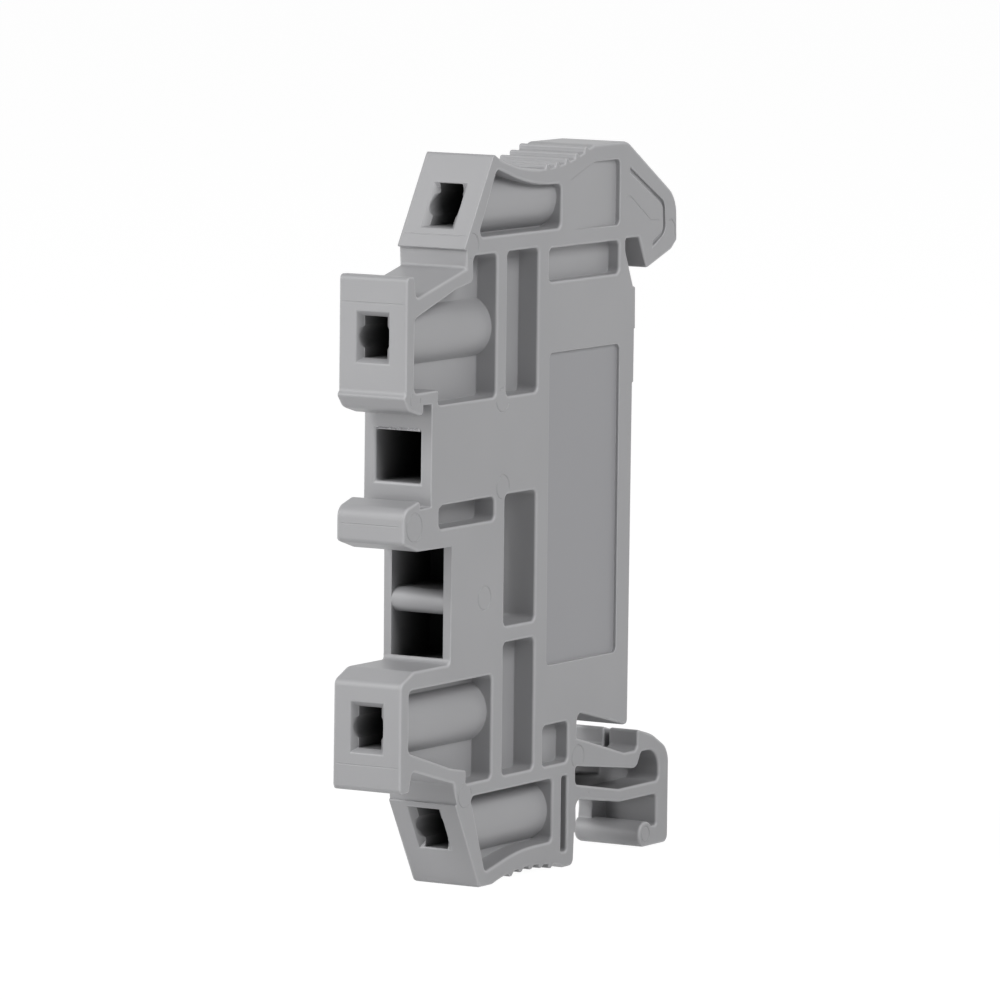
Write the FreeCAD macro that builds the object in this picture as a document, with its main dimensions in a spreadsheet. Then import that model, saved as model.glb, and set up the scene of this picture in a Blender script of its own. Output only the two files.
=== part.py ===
"""End stop for a 35 mm mounting rail, moulded in one piece with its sprung foot.

The origin lies on the seat plane, at the centre line of the rail and in the middle of
the thickness. X runs across the thickness, -Y is the front with the marker windows,
+Y is the side of the rail, and +Z is up. Sizes are in millimetres.
"""
import FreeCAD, Part
import math
import os
import Sketcher
from FreeCAD import Vector

# Each size has its alias, its value and what it measures. A reach is a distance in
# front of the seat plane, a back one behind it, and a height or a drop is a distance
# above or below the centre line of the rail.
SIZES = (
    ("thickness", 5.2, "whole moulding, side to side"),
    ("rail_width", 35.0, "rail between the outer edges of its lips"),
    ("top_height", 24.07, "flat top of the moulding"),
    ("bottom_drop", 24.4, "underside of the moulding"),
    ("rear_gap", 0.28, "rear face in front of the seat plane"),
    ("corner_round", 0.35, "common round of an outer corner"),
    ("small_round", 0.2, "round of a sharp corner"),
    ("step_round", 0.1, "round of the small steps beside the two necks"),
    ("pocket_round", 0.4, "corners of the hollows in the sides"),

    ("top_block_reach", 18.65, "top corner of the slanted top block"),
    ("top_block_foot_reach", 22.25, "lower corner of the slanted top block"),
    ("top_block_foot", 18.0, "height of that corner"),
    ("upper_neck_reach", 21.9, "wall between the top block and the upper socket"),
    ("lower_neck_reach", 22.45, "wall between the lower socket and the bottom block"),
    ("bottom_block_reach", 22.65, "upper corner of the slanted bottom block"),
    ("bottom_block_drop", 18.5, "drop of that corner"),
    ("bottom_block_foot_reach", 19.45, "lower corner of the bottom block"),
    ("strip_foot_reach", 7.25, "foot of the strip in front of the sprung foot"),
    ("strip_step_drop", 22.2, "step on that strip"),
    ("arm_root_reach", 7.0, "root of the two spring arms"),
    ("arm_root_round", 0.5, "round at the root of the arms"),
    ("roof_root_drop", 14.05, "roof of the upper slit at the arm root"),
    ("roof_tip_drop", 15.68, "roof of the upper slit at the rail"),

    ("hook_inner_reach", 3.2, "hook's plate inside the spine"),
    ("hook_shoulder_reach", 1.2, "end of the flat top"),
    ("hook_shoulder_round", 1.2, "round of that end"),
    ("hook_back", 5.52, "back of the hook behind the seat plane"),
    ("hook_back_height", 19.93, "corner of the hook's slope and its back"),
    ("hook_back_round", 2.2, "round of that corner"),
    ("hook_jaw_height", 17.03, "lower end of the hook's back"),
    ("hook_jaw_back", 4.85, "start of the lead-in under the hook"),
    ("hook_jaw_start", 16.42, "height of that start"),
    ("hook_jaw_round", 0.8, "round of that start"),
    ("hook_tip_back", 1.5, "tip of the hook"),
    ("hook_tip_height", 15.33, "height of the tip"),
    ("hook_throat_back", 0.5, "rear wall of the throat at its top"),
    ("hook_throat_reach", 1.33, "front wall of the throat"),
    ("hook_throat_bend", 16.7, "height where the front wall bends back"),
    ("seat_top", 14.2, "top of the seat pad"),
    ("seat_bottom", 11.35, "bottom of the seat pad"),
    ("seat_relief", 0.12, "pad under the seat, in front of the seat plane"),
    ("seat_relief_bottom", 7.7, "bottom of that pad"),
    ("seat_root_height", 12.5, "top of the plain rear face inside the hook plate"),

    ("block_front_reach", 29.27, "front of the upper socket block"),
    ("strut_root_height", 17.01, "top of the strut at the neck"),
    ("strut_end_reach", 28.05, "front end of the strut's top"),
    ("strut_end_height", 15.23, "height of that end"),
    ("lip_height", 16.68, "top of the upturned lip"),
    ("lip_inner_reach", 28.38, "inner side of the lip"),
    ("nose_reach", 29.52, "nose under the upper socket block"),
    ("nose_start", 9.1, "height where the nose swells"),
    ("nose_height", 8.8, "height of the nose"),
    ("nose_heel_reach", 28.9, "rounded heel of the nose"),
    ("nose_heel_height", 7.95, "height of the heel"),
    ("nose_bottom", 7.45, "underside of the nose"),
    ("groove_front_reach", 27.03, "front side of the marker groove"),
    ("groove_top", 8.2, "top of the marker groove"),
    ("marker_face_reach", 26.05, "face with the single marker window"),
    ("ledge_height", 1.47, "floor of the lower marker groove"),
    ("ledge_lip_reach", 27.39, "inner side of the ledge's lip"),
    ("ledge_lip_height", 2.02, "top of the ledge's lip"),
    ("ledge_nose_reach", 29.4, "front of the ledge"),
    ("ledge_nose_top", 1.5, "upper corner of the ledge's front"),
    ("ledge_nose_bottom", -0.75, "lower corner of the ledge's front"),
    ("ledge_under_reach", 27.5, "underside of the ledge, front end"),
    ("ledge_under_height", -1.33, "underside of the ledge"),
    ("nose_round", 0.55, "rounds of the noses"),
    ("bead_round", 0.9, "large rounds of the beads along the fronts"),

    ("recess_reach", 23.45, "face with the double marker window"),
    ("lower_block_top_drop", 9.11, "top of the lower socket block"),
    ("lower_block_slope_reach", 27.9, "start of the slope on that top"),
    ("lower_block_reach", 29.55, "front of the lower socket block"),
    ("lower_block_brow_drop", 9.85, "brow of the lower socket block"),
    ("lower_block_foot_drop", 17.05, "foot of the lower socket block"),
    ("lower_lip_inner_reach", 28.46, "inner side of the lower lip"),
    ("lower_strut_start_reach", 28.0, "start of the lower strut"),
    ("lower_strut_start_drop", 15.72, "drop of that start"),
    ("lower_strut_end_reach", 22.75, "end of the lower strut at the neck"),
    ("lower_strut_end_drop", 17.12, "drop of that end"),

    ("top_grip_radius", 17.1, "hollow of the top finger grip"),
    ("top_grip_reach", 12.1, "middle of the top finger grip"),
    ("top_grip_floor", 22.8, "deepest point of the top grip"),
    ("bottom_grip_radius", 17.0, "hollow of the bottom finger grip"),
    ("bottom_grip_reach", 13.15, "middle of the bottom finger grip"),
    ("bottom_grip_floor_drop", 23.75, "deepest point of the bottom grip"),
    ("ridge_pitch", 1.29, "from one grip ridge to the next"),
    ("ridge_height", 0.3, "top grip ridge above the hollow"),
    ("bottom_ridge_height", 0.22, "bottom grip ridge above the hollow"),
    ("ridge_rise", 0.22, "steep side of a ridge, along the grip"),
    ("ridge_crest", 0.25, "flat crest of a ridge"),
    ("ridge_fall", 0.5, "gentle side of a ridge, along the grip"),
    ("ridge_root", 0.2, "root of a ridge sunk in the grip"),
    ("top_ridge_reach", 11.85, "first ridge of the top grip"),
    ("bottom_ridge_reach", 15.6, "first ridge of the bottom grip"),
    ("ridge_count", 5, "ridges on each grip"),

    ("arm_top_root_drop", 15.44, "top of the upper arm inside the spine"),
    ("arm_inner_reach", 8.2, "arms' inner end inside the spine"),
    ("arm_top_tip_reach", 0.6, "end of the upper arm's top"),
    ("lip_back", 1.07, "front wall of the foot's lip"),
    ("lip_top_drop", 16.1, "top of the foot's lip"),
    ("foot_brow_back", 3.1, "middle of the foot's sloping top"),
    ("foot_brow_drop", 16.62, "drop of that middle"),
    ("foot_brow_round", 2.5, "round of the sloping top"),
    ("foot_back", 5.36, "back of the foot"),
    ("foot_shoulder_drop", 17.85, "upper corner of the foot's back"),
    ("foot_shoulder_round", 1.6, "round of that corner"),
    ("foot_bottom_drop", 24.32, "underside of the foot"),
    ("foot_wall", 1.6, "wall at the back of the foot"),
    ("foot_hollow_drop", 20.84, "roof of the hollow under the lower arm"),
    ("foot_hollow_bend_reach", 1.0, "where that roof starts to rise"),
    ("foot_hollow_root_drop", 19.95, "that roof at the arm root"),
    ("bar_back", 2.28, "centre of the release bar"),
    ("bar_diameter", 1.75, "release bar"),
    ("bar_joint_drop", 22.95, "where the release bar meets the wall"),
    ("flange_thickness", 1.1, "flange at the far side of the foot"),
    ("flange_back", 1.95, "front edge of that flange"),
    ("flange_start_back", 0.5, "where it blends into the lower arm"),
    ("flange_round", 1.0, "round of that blend"),
    ("lip_slot_width", 0.4, "slot that splits the foot's lip"),
    ("lip_slot_side", 0.3, "near side of that slot"),
    ("lip_slot_depth", 1.1, "depth of that slot"),

    ("slit_top_root_drop", 17.74, "roof of the lower slit at the arm root"),
    ("slit_top_tip_drop", 18.68, "roof of the lower slit at the foot"),
    ("slit_top_tip_reach", 0.7, "place of that point"),
    ("slit_floor_root_drop", 18.9, "floor of the lower slit at the arm root"),
    ("slit_floor_bend_reach", 1.3, "where the floor turns level"),
    ("slit_floor_drop", 19.9, "level floor of the lower slit"),
    ("slit_front_reach", 7.12, "front end of the lower slit"),
    ("lobe_start_back", 0.95, "front of the lobe in the foot"),
    ("lobe_top_drop", 17.71, "top of the lobe"),
    ("lobe_front_back", 1.65, "front of the lobe's top"),
    ("lobe_back", 4.02, "back of the lobe"),
    ("lobe_round", 1.4, "round of the lobe's back"),
    ("slit_end_back", 0.3, "rear end of the narrow slit"),
    ("slit_height", 0.62, "narrow slit right through"),
    ("slit_centre_offset", 0.1, "floor of the wide slit beside the middle"),

    ("web", 2.0, "web in the middle of the thickness"),
    ("top_hollow_floor", 18.75, "bottom of the hollow in the top block"),
    ("top_hollow_front_reach", 20.42, "front of that hollow at its bottom"),
    ("top_hollow_crown_reach", 18.1, "front of that hollow at its top"),
    ("top_hollow_crown", 23.1, "height there"),
    ("top_hollow_roof", 21.68, "roof of that hollow at the rear"),
    ("top_hollow_bend_reach", 13.4, "where that roof starts to rise"),
    ("grip_wall_round", 18.2, "curve of the walls under the grips"),
    ("top_hollow_rear_reach", 9.88, "rear wall of that hollow"),
    ("upper_hollow_front_reach", 28.23, "front of the hollow behind the upper socket"),
    ("upper_hollow_step_reach", 25.25, "step in its floor"),
    ("upper_hollow_step", 9.08, "height of its front floor"),
    ("upper_hollow_floor", 8.08, "its floor"),
    ("column_front_reach", 21.0, "front of its tall part"),
    ("column_rear_reach", 18.0, "rear of its tall part"),
    ("column_top", 17.55, "top of its tall part"),
    ("column_shoulder", 15.85, "top of its front part at the column"),
    ("strut_under_reach", 23.2, "bend under the strut"),
    ("strut_under_height", 15.45, "height of that bend"),
    ("strut_under_front", 13.87, "underside of the strut at the front"),
    ("middle_hollow_front_reach", 16.7, "front of the hollows in the middle"),
    ("middle_hollow_rear_reach", 12.7, "rear of the hollows in the middle"),
    ("middle_upper_top", 17.58, "top of the upper one"),
    ("middle_upper_floor", 8.03, "bottom of the upper one"),
    ("middle_top", 1.48, "top of the middle one"),
    ("middle_floor", -7.26, "bottom of the middle one"),
    ("middle_lower_top", -8.38, "top of the lower one"),
    ("middle_lower_floor", -17.22, "bottom of the lower one"),
    ("slot_front_reach", 25.0, "front of the slot under the marker cavity"),
    ("slot_floor", -0.05, "bottom of that slot"),
    ("lower_hollow_front_reach", 28.48, "front of the hollow behind the lower socket"),
    ("lower_hollow_rear_reach", 18.1, "its rear"),
    ("lower_hollow_top", -10.36, "its top"),
    ("lower_hollow_floor", -17.23, "its floor"),
    ("lower_hollow_foot_reach", 21.3, "front end of that floor"),
    ("lower_hollow_shoulder", -16.35, "its floor above the strut, at the rear"),
    ("lower_strut_over_reach", 23.2, "bend over the lower strut"),
    ("lower_strut_over_height", -15.98, "height of that bend"),
    ("lower_strut_over_front", -14.4, "its floor at the front"),
    ("bottom_hollow_top", -18.2, "top of the hollow in the bottom block"),
    ("bottom_hollow_front_reach", 20.75, "its front at the top"),
    ("bottom_hollow_crown_reach", 18.72, "its front at the bottom"),
    ("bottom_hollow_crown", -23.42, "height there"),
    ("bottom_hollow_bend_reach", 14.2, "where its floor starts to fall"),
    ("bottom_hollow_floor", -22.42, "its floor at the rear"),
    ("bottom_hollow_rear_reach", 10.15, "its rear wall"),
    ("rear_slot_front_reach", 11.35, "front of the shallow slot under the hook"),
    ("rear_slot_end_reach", 2.17, "rear of that slot"),
    ("rear_slot_floor", 15.23, "bottom of that slot"),
    ("rear_slot_top", 17.43, "top of that slot"),
    ("rear_slot_depth", 0.9, "depth of that slot"),
    ("pad_front_reach", 11.5, "front of the shallow hollow at the arm root"),
    ("pad_rear_reach", 8.18, "its rear"),
    ("pad_top", -14.52, "its top"),
    ("pad_floor", -17.24, "its bottom"),
    ("pad_depth", 1.0, "its depth"),
    ("strip_slot_front_reach", 8.95, "front of the slot in the lower strip"),
    ("strip_slot_rear_reach", 8.2, "rear of that slot"),
    ("strip_slot_top", -18.2, "top of that slot"),
    ("strip_slot_floor", -23.3, "bottom of that slot"),

    ("socket_outer_height", 20.75, "axis of the top socket"),
    ("socket_upper_height", 12.65, "axis of the upper socket"),
    ("socket_lower_drop", 12.85, "axis of the lower socket"),
    ("socket_bottom_drop", 20.4, "axis of the bottom socket"),
    ("tube_diameter", 4.3, "sleeves round the sockets"),
    ("socket_width", 1.75, "flat part of a socket"),
    ("socket_tall", 2.75, "flat part of a socket, top to bottom"),
    ("socket_bore", 2.3, "round part of a socket"),
    ("socket_depth", 10.0, "depth of a socket"),
    ("socket_mouth_width", 2.56, "bevelled mouth of a socket"),
    ("socket_mouth_tall", 3.4, "bevelled mouth of a socket, top to bottom"),
    ("socket_mouth_depth", 0.42, "depth of the bevel"),
    ("socket_mouth_angle", 42.0, "slope of the bevel, in degrees"),
    ("marker_window", 3.4, "width of the single marker window"),
    ("marker_window_top", 6.38, "top of the single marker window"),
    ("marker_window_bottom", 2.97, "bottom of the single marker window"),
    ("marker_cavity_rear_reach", 18.6, "rear of the marker cavities"),
    ("double_window", 4.0, "width of the double marker window"),
    ("double_window_top", -1.35, "top of its upper opening"),
    ("double_window_bar_top", -4.3, "top of the bar across it"),
    ("double_window_bar_bottom", -5.95, "bottom of the bar across it"),
    ("double_window_bottom", -9.11, "bottom of its lower opening"),
    ("double_window_bar_round", 0.8, "rounded front of that bar"),

    ("label_front_reach", 11.2, "front of the label recess"),
    ("label_rear_reach", 2.03, "rear of the label recess"),
    ("label_half_height", 10.46, "half the height of the label recess"),
    ("label_depth", 0.25, "depth of the label recess"),
    ("panel_front_reach", 8.7, "front edge of the sunk panel beside the hook"),
    ("panel_top", 22.92, "top of that panel"),
    ("panel_bend_reach", 5.6, "where its top turns level"),
    ("panel_front_top", 21.87, "top of its front edge"),
    ("panel_rear_reach", 2.2, "rear of that panel"),
    ("panel_floor", 18.5, "bottom of that panel"),
    ("panel_slope", 3.2, "slope of that panel into the side, in degrees"),
    ("hook_groove_depth", 0.22, "groove along the hook's back"),
    ("hook_groove_width", 0.32, "width of that groove where it is upright"),
    ("hook_groove_rise", 0.36, "width of that groove on its slopes, top to bottom"),
    ("hook_groove_start_reach", 0.82, "upper end of that groove"),
    ("hook_groove_start", 22.3, "height of its upper end"),
    ("hook_groove_bend_back", 3.85, "its bend at the hook's back"),
    ("hook_groove_bend", 19.7, "height of that bend"),
    ("hook_groove_turn_back", 4.0, "its turn above the jaw"),
    ("hook_groove_turn", 17.65, "height of that turn"),
    ("hook_groove_end_back", 2.3, "its lower end"),
    ("hook_groove_end", 16.78, "height of its lower end"),
    ("hook_groove_round", 0.9, "round of its outer bends"),
)


class Size:
    """A length as a number, with the formula that ties it to the sheet."""

    def __init__(self, number, formula):
        self.number = number
        self.formula = formula

    def __add__(self, other):
        return Size(self.number + other.number, f"({self.formula} + {other.formula})")

    def __sub__(self, other):
        return Size(self.number - other.number, f"({self.formula} - {other.formula})")

    def __neg__(self):
        return Size(-self.number, f"(-{self.formula})")

    def __mul__(self, other):
        if isinstance(other, Size):
            return Size(self.number * other.number, f"({self.formula} * {other.formula})")
        return Size(self.number * other, f"({self.formula} * {other})")

    def __truediv__(self, other):
        return Size(self.number / other.number, f"({self.formula} / {other.formula})")

    def angle(self):
        """The angle, in degrees, whose tangent is this number."""
        return Size(math.degrees(math.atan(self.number)), f"atan({self.formula})")

    def in_degrees(self):
        """This number of radians, in degrees."""
        return Size(math.degrees(self.number), f"({self.formula} * 180 / pi)")


# The seat plane along Y, and the middle of the thickness along X.
MIDDLE = Size(0, "0")


class Sizes:
    """The driving sizes, each an attribute under its own name."""

    def __init__(self, document):
        sheet = document.addObject("Spreadsheet::Sheet", "Sizes")
        for row, (alias, value, meaning) in enumerate(SIZES, start=1):
            sheet.set(f"A{row}", meaning)
            sheet.set(f"B{row}", str(value))
            sheet.setAlias(f"B{row}", alias)
            setattr(self, alias, Size(value, f"Sizes.{alias}"))


def origin_plane(body, role):
    """One of the body's own origin planes."""
    return next(item for item in body.Origin.OriginFeatures if item.Role == role)


def new_sketch(body, name, role, offset=None, centre=None, turn_axis=None, turn=None):
    """A sketch on an origin plane, moved along its normal and to its own centre.

    On YZ_Plane the sketch runs along Y and Z and faces +X. On XZ_Plane it runs along
    X and Z and faces the front, so an offset is a reach. A turn tilts the sketch
    about one of its own axes, through its centre.
    """
    sketch = body.newObject("Sketcher::SketchObject", name)
    sketch.AttachmentSupport = [(origin_plane(body, role), "")]
    sketch.MapMode = "FlatFace"
    if turn:
        tilt = FreeCAD.Rotation(turn_axis, turn.number)
        sketch.AttachmentOffset = FreeCAD.Placement(Vector(0, 0, 0), tilt)
        sketch.setExpression("AttachmentOffset.Rotation.Angle", turn.formula)
    if offset:
        sketch.setExpression("AttachmentOffset.Base.z", offset.formula)
    if centre:
        sketch.setExpression("AttachmentOffset.Base.x", centre[0].formula)
        sketch.setExpression("AttachmentOffset.Base.y", centre[1].formula)
    return sketch


def bind(sketch, rules):
    """Add constraints, each with the formula of its value or None."""
    first = len(sketch.Constraints)
    sketch.addConstraint([rule for rule, formula in rules])
    for index, (rule, formula) in enumerate(rules, start=first):
        if formula:
            sketch.setExpression(f"Constraints[{index}]", formula)


def place_point(geometry, end, across, up):
    """The two rules that hold one point of the sketch at its place."""
    return [
        (Sketcher.Constraint("DistanceX", geometry, end, across.number), across.formula),
        (Sketcher.Constraint("DistanceY", geometry, end, up.number), up.formula),
    ]


def draw_outline(sketch, corners):
    """A closed outline through corners (across, up) or (across, up, round).

    A rounded corner is an arc tangent to both of its lines, and the corner itself
    stays as a construction point where the two lines would meet.
    """
    points = [Vector(corner[0].number, corner[1].number, 0) for corner in corners]
    count = len(corners)
    entries = []
    exits = []
    arcs = {}
    for index, corner in enumerate(corners):
        point = points[index]
        back = (points[index - 1] - point).normalize()
        ahead = (points[(index + 1) % count] - point).normalize()
        reach = 0.0
        if len(corner) == 3:
            half = back.getAngle(ahead) / 2
            radius = corner[2].number
            reach = radius / math.tan(half)
            middle = point + (back + ahead).normalize() * (radius / math.sin(half) - radius)
            left_turn = ahead.cross(back).z > 0
            ends = (point + back * reach, point + ahead * reach)
            start, end = ends if left_turn else (ends[1], ends[0])
            arcs[index] = (Part.Arc(start, middle, end), left_turn)
        entries.append(point + back * reach)
        exits.append(point + ahead * reach)

    base = sketch.GeometryCount
    lines = [Part.LineSegment(exits[i], entries[(i + 1) % count]) for i in range(count)]
    sketch.addGeometry(lines, False)
    rules = []
    for index, corner in enumerate(corners):
        before = base + (index - 1) % count
        after = base + index
        if index not in arcs:
            rules.append((Sketcher.Constraint("Coincident", before, 2, after, 1), None))
            rules += place_point(after, 1, corner[0], corner[1])
            continue
        curve, left_turn = arcs[index]
        arc = sketch.addGeometry(curve, False)
        mark = sketch.addGeometry(Part.Point(points[index]), True)
        near, far = (1, 2) if left_turn else (2, 1)
        rules.append((Sketcher.Constraint("Tangent", before, 2, arc, near), None))
        rules.append((Sketcher.Constraint("Tangent", arc, far, after, 1), None))
        rules.append((Sketcher.Constraint("Radius", arc, corner[2].number), corner[2].formula))
        rules.append((Sketcher.Constraint("PointOnObject", mark, 1, before), None))
        rules.append((Sketcher.Constraint("PointOnObject", mark, 1, after), None))
        rules += place_point(mark, 1, corner[0], corner[1])
    bind(sketch, rules)


def draw_box(sketch, left, right, bottom, top, corner_round=None):
    """A rectangle between four places, with one round at all corners or none."""
    extra = (corner_round,) if corner_round else ()
    draw_outline(sketch, [
        (left, bottom) + extra,
        (right, bottom) + extra,
        (right, top) + extra,
        (left, top) + extra,
    ])


def draw_circle(sketch, across, up, radius):
    """A circle held by its centre and radius."""
    centre = Vector(across.number, up.number, 0)
    circle = sketch.addGeometry(Part.Circle(centre, Vector(0, 0, 1), radius.number), False)
    rules = place_point(circle, 3, across, up)
    rules.append((Sketcher.Constraint("Radius", circle, radius.number), radius.formula))
    bind(sketch, rules)


def add_pad(body, name, sketch, length, both_sides=False):
    """A pad of the sketch, one way or to both sides of its plane."""
    pad = body.newObject("PartDesign::Pad", name)
    pad.Profile = sketch
    pad.setExpression("Length", length.formula)
    if both_sides:
        pad.SideType = "Symmetric"
    return pad


def add_pocket(body, name, sketch, length, both_sides=False):
    """A pocket of the sketch, against its normal or to both sides."""
    pocket = body.newObject("PartDesign::Pocket", name)
    pocket.Profile = sketch
    pocket.setExpression("Length", length.formula)
    if both_sides:
        pocket.SideType = "Symmetric"
    return pocket


def build_spine(body, s):
    """The plate from the finger grips to the rail, with the two slanted end blocks."""
    sketch = new_sketch(body, "spine_outline", "YZ_Plane")
    draw_outline(sketch, [
        (-s.top_block_reach, s.top_height, s.corner_round),
        (-s.top_block_foot_reach, s.top_block_foot, s.step_round),
        (-s.upper_neck_reach, s.top_block_foot),
        (-s.upper_neck_reach, s.ledge_height),
        (-s.lower_neck_reach, s.ledge_height),
        (-s.lower_neck_reach, -s.bottom_block_drop),
        (-s.bottom_block_reach, -s.bottom_block_drop, s.step_round),
        (-s.bottom_block_foot_reach, -s.bottom_drop, s.corner_round),
        (-s.strip_foot_reach, -s.bottom_drop, s.nose_round),
        (-s.strip_foot_reach, -s.strip_step_drop),
        (-s.arm_root_reach, -s.strip_step_drop),
        (-s.arm_root_reach, -s.roof_root_drop, s.arm_root_round),
        (-s.rear_gap, -s.roof_tip_drop, s.corner_round),
        (-s.rear_gap, s.seat_root_height),
        (-s.panel_rear_reach, s.seat_root_height),
        (-s.panel_rear_reach, s.top_height),
    ])
    return add_pad(body, "spine", sketch, s.thickness, both_sides=True)


def build_hook(body, s):
    """The rigid hook over the rail's upper lip, with the seat pad under its throat."""
    throat_top = s.rail_width * 0.5
    sketch = new_sketch(body, "hook_outline", "YZ_Plane")
    draw_outline(sketch, [
        (-s.hook_inner_reach, s.top_height),
        (-s.hook_shoulder_reach, s.top_height, s.hook_shoulder_round),
        (s.hook_back, s.hook_back_height, s.hook_back_round),
        (s.hook_back, s.hook_jaw_height, s.small_round),
        (s.hook_jaw_back, s.hook_jaw_start, s.hook_jaw_round),
        (s.hook_tip_back, s.hook_tip_height, s.small_round),
        (s.hook_throat_back, throat_top, s.small_round),
        (-s.hook_throat_reach, throat_top, s.small_round),
        (-s.hook_throat_reach, s.hook_throat_bend, s.corner_round),
        (-s.rear_gap, s.seat_top),
        (MIDDLE, s.seat_top),
        (MIDDLE, s.seat_bottom),
        (-s.seat_relief, s.seat_bottom),
        (-s.seat_relief, s.seat_relief_bottom),
        (-s.hook_inner_reach, s.seat_relief_bottom),
    ])
    return add_pad(body, "hook", sketch, s.thickness, both_sides=True)


def build_upper_block(body, s):
    """The upper socket block on its strut, the marker face and the ledge below it."""
    sketch = new_sketch(body, "upper_block_outline", "YZ_Plane")
    draw_outline(sketch, [
        (-s.column_front_reach, s.strut_root_height),
        (-s.strut_end_reach, s.strut_end_height, s.corner_round),
        (-s.lip_inner_reach, s.lip_height, s.small_round),
        (-s.block_front_reach, s.lip_height, s.corner_round),
        (-s.block_front_reach, s.nose_start),
        (-s.nose_reach, s.nose_height, s.small_round),
        (-s.nose_heel_reach, s.nose_heel_height, s.bead_round),
        (-s.groove_front_reach, s.nose_bottom, s.corner_round),
        (-s.groove_front_reach, s.groove_top),
        (-s.marker_face_reach, s.groove_top),
        (-s.marker_face_reach, s.ledge_height),
        (-s.ledge_lip_reach, s.ledge_height),
        (-s.ledge_lip_reach, s.ledge_lip_height, s.small_round),
        (-s.ledge_nose_reach, s.ledge_nose_top, s.bead_round),
        (-s.ledge_nose_reach, s.ledge_nose_bottom, s.corner_round),
        (-s.ledge_under_reach, s.ledge_under_height, s.bead_round),
        (-s.column_front_reach, s.ledge_under_height),
    ])
    return add_pad(body, "upper_block", sketch, s.thickness, both_sides=True)


def build_lower_block(body, s):
    """The face with the double window, and the lower socket block on its strut."""
    sketch = new_sketch(body, "lower_block_outline", "YZ_Plane")
    draw_outline(sketch, [
        (-s.column_front_reach, s.slot_floor),
        (-s.recess_reach, s.slot_floor),
        (-s.recess_reach, -s.lower_block_top_drop, s.corner_round),
        (-s.lower_block_slope_reach, -s.lower_block_top_drop, s.bead_round),
        (-s.lower_block_reach, -s.lower_block_brow_drop, s.nose_round),
        (-s.lower_block_reach, -s.lower_block_foot_drop, s.corner_round),
        (-s.lower_lip_inner_reach, -s.lower_block_foot_drop, s.small_round),
        (-s.lower_strut_start_reach, -s.lower_strut_start_drop, s.corner_round),
        (-s.lower_strut_end_reach, -s.lower_strut_end_drop, s.corner_round),
        (-s.lower_neck_reach, -s.bottom_block_drop),
        (-s.column_front_reach, -s.bottom_block_drop),
    ])
    return add_pad(body, "lower_block", sketch, s.thickness, both_sides=True)


def build_foot(body, s):
    """The sprung foot: two arms, the lip that snaps behind the rail, and its wall.

    The upper slit beside the rail lies between the spine's roof and this outline.
    """
    lip_floor = s.rail_width * 0.5
    bar_radius = s.bar_diameter * 0.5
    inner_wall = s.foot_back - s.foot_wall
    sketch = new_sketch(body, "foot_outline", "YZ_Plane")
    draw_outline(sketch, [
        (-s.arm_inner_reach, -s.arm_top_root_drop),
        (-s.arm_top_tip_reach, -lip_floor, s.corner_round),
        (s.lip_back, -lip_floor, s.corner_round),
        (s.lip_back, -s.lip_top_drop, s.small_round),
        (s.foot_brow_back, -s.foot_brow_drop, s.foot_brow_round),
        (s.foot_back, -s.foot_shoulder_drop, s.foot_shoulder_round),
        (s.foot_back, -s.foot_bottom_drop, s.nose_round),
        (s.bar_back, -s.foot_bottom_drop),
        (s.bar_back, -s.bar_joint_drop),
        (inner_wall, -s.bar_joint_drop, s.small_round),
        (inner_wall, -s.foot_hollow_drop, s.corner_round),
        (-s.foot_hollow_bend_reach, -s.foot_hollow_drop, s.nose_round),
        (-s.arm_root_reach, -s.foot_hollow_root_drop, s.nose_round),
        (-s.arm_root_reach, -s.strip_step_drop),
        (-s.arm_inner_reach, -s.strip_step_drop),
    ])
    foot = add_pad(body, "foot", sketch, s.thickness, both_sides=True)

    circle = new_sketch(body, "release_bar_circle", "YZ_Plane")
    draw_circle(circle, s.bar_back, bar_radius - s.foot_bottom_drop, bar_radius)
    bar = add_pad(body, "release_bar", circle, s.thickness, both_sides=True)

    far_side = -(s.thickness * 0.5)
    rim = new_sketch(body, "foot_flange_outline", "YZ_Plane", offset=far_side)
    draw_outline(rim, [
        (s.flange_back, bar_radius - s.foot_bottom_drop),
        (s.flange_back, -s.foot_hollow_drop, s.flange_round),
        (s.flange_start_back, -s.foot_hollow_drop),
        (s.flange_start_back, -s.slit_floor_drop - s.small_round),
        (s.lobe_back, -s.slit_floor_drop - s.small_round),
        (s.lobe_back, bar_radius - s.foot_bottom_drop),
    ])
    flange = add_pad(body, "foot_flange", rim, s.flange_thickness)

    slot = new_sketch(body, "lip_slot_outline", "YZ_Plane", offset=s.lip_slot_side)
    draw_box(slot, s.lip_back - s.small_round, s.lip_back + s.lip_slot_depth,
             -lip_floor, -s.lip_top_drop + s.nose_round)
    return foot, bar, flange, add_pocket(body, "lip_slot", slot, s.lip_slot_width)


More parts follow.
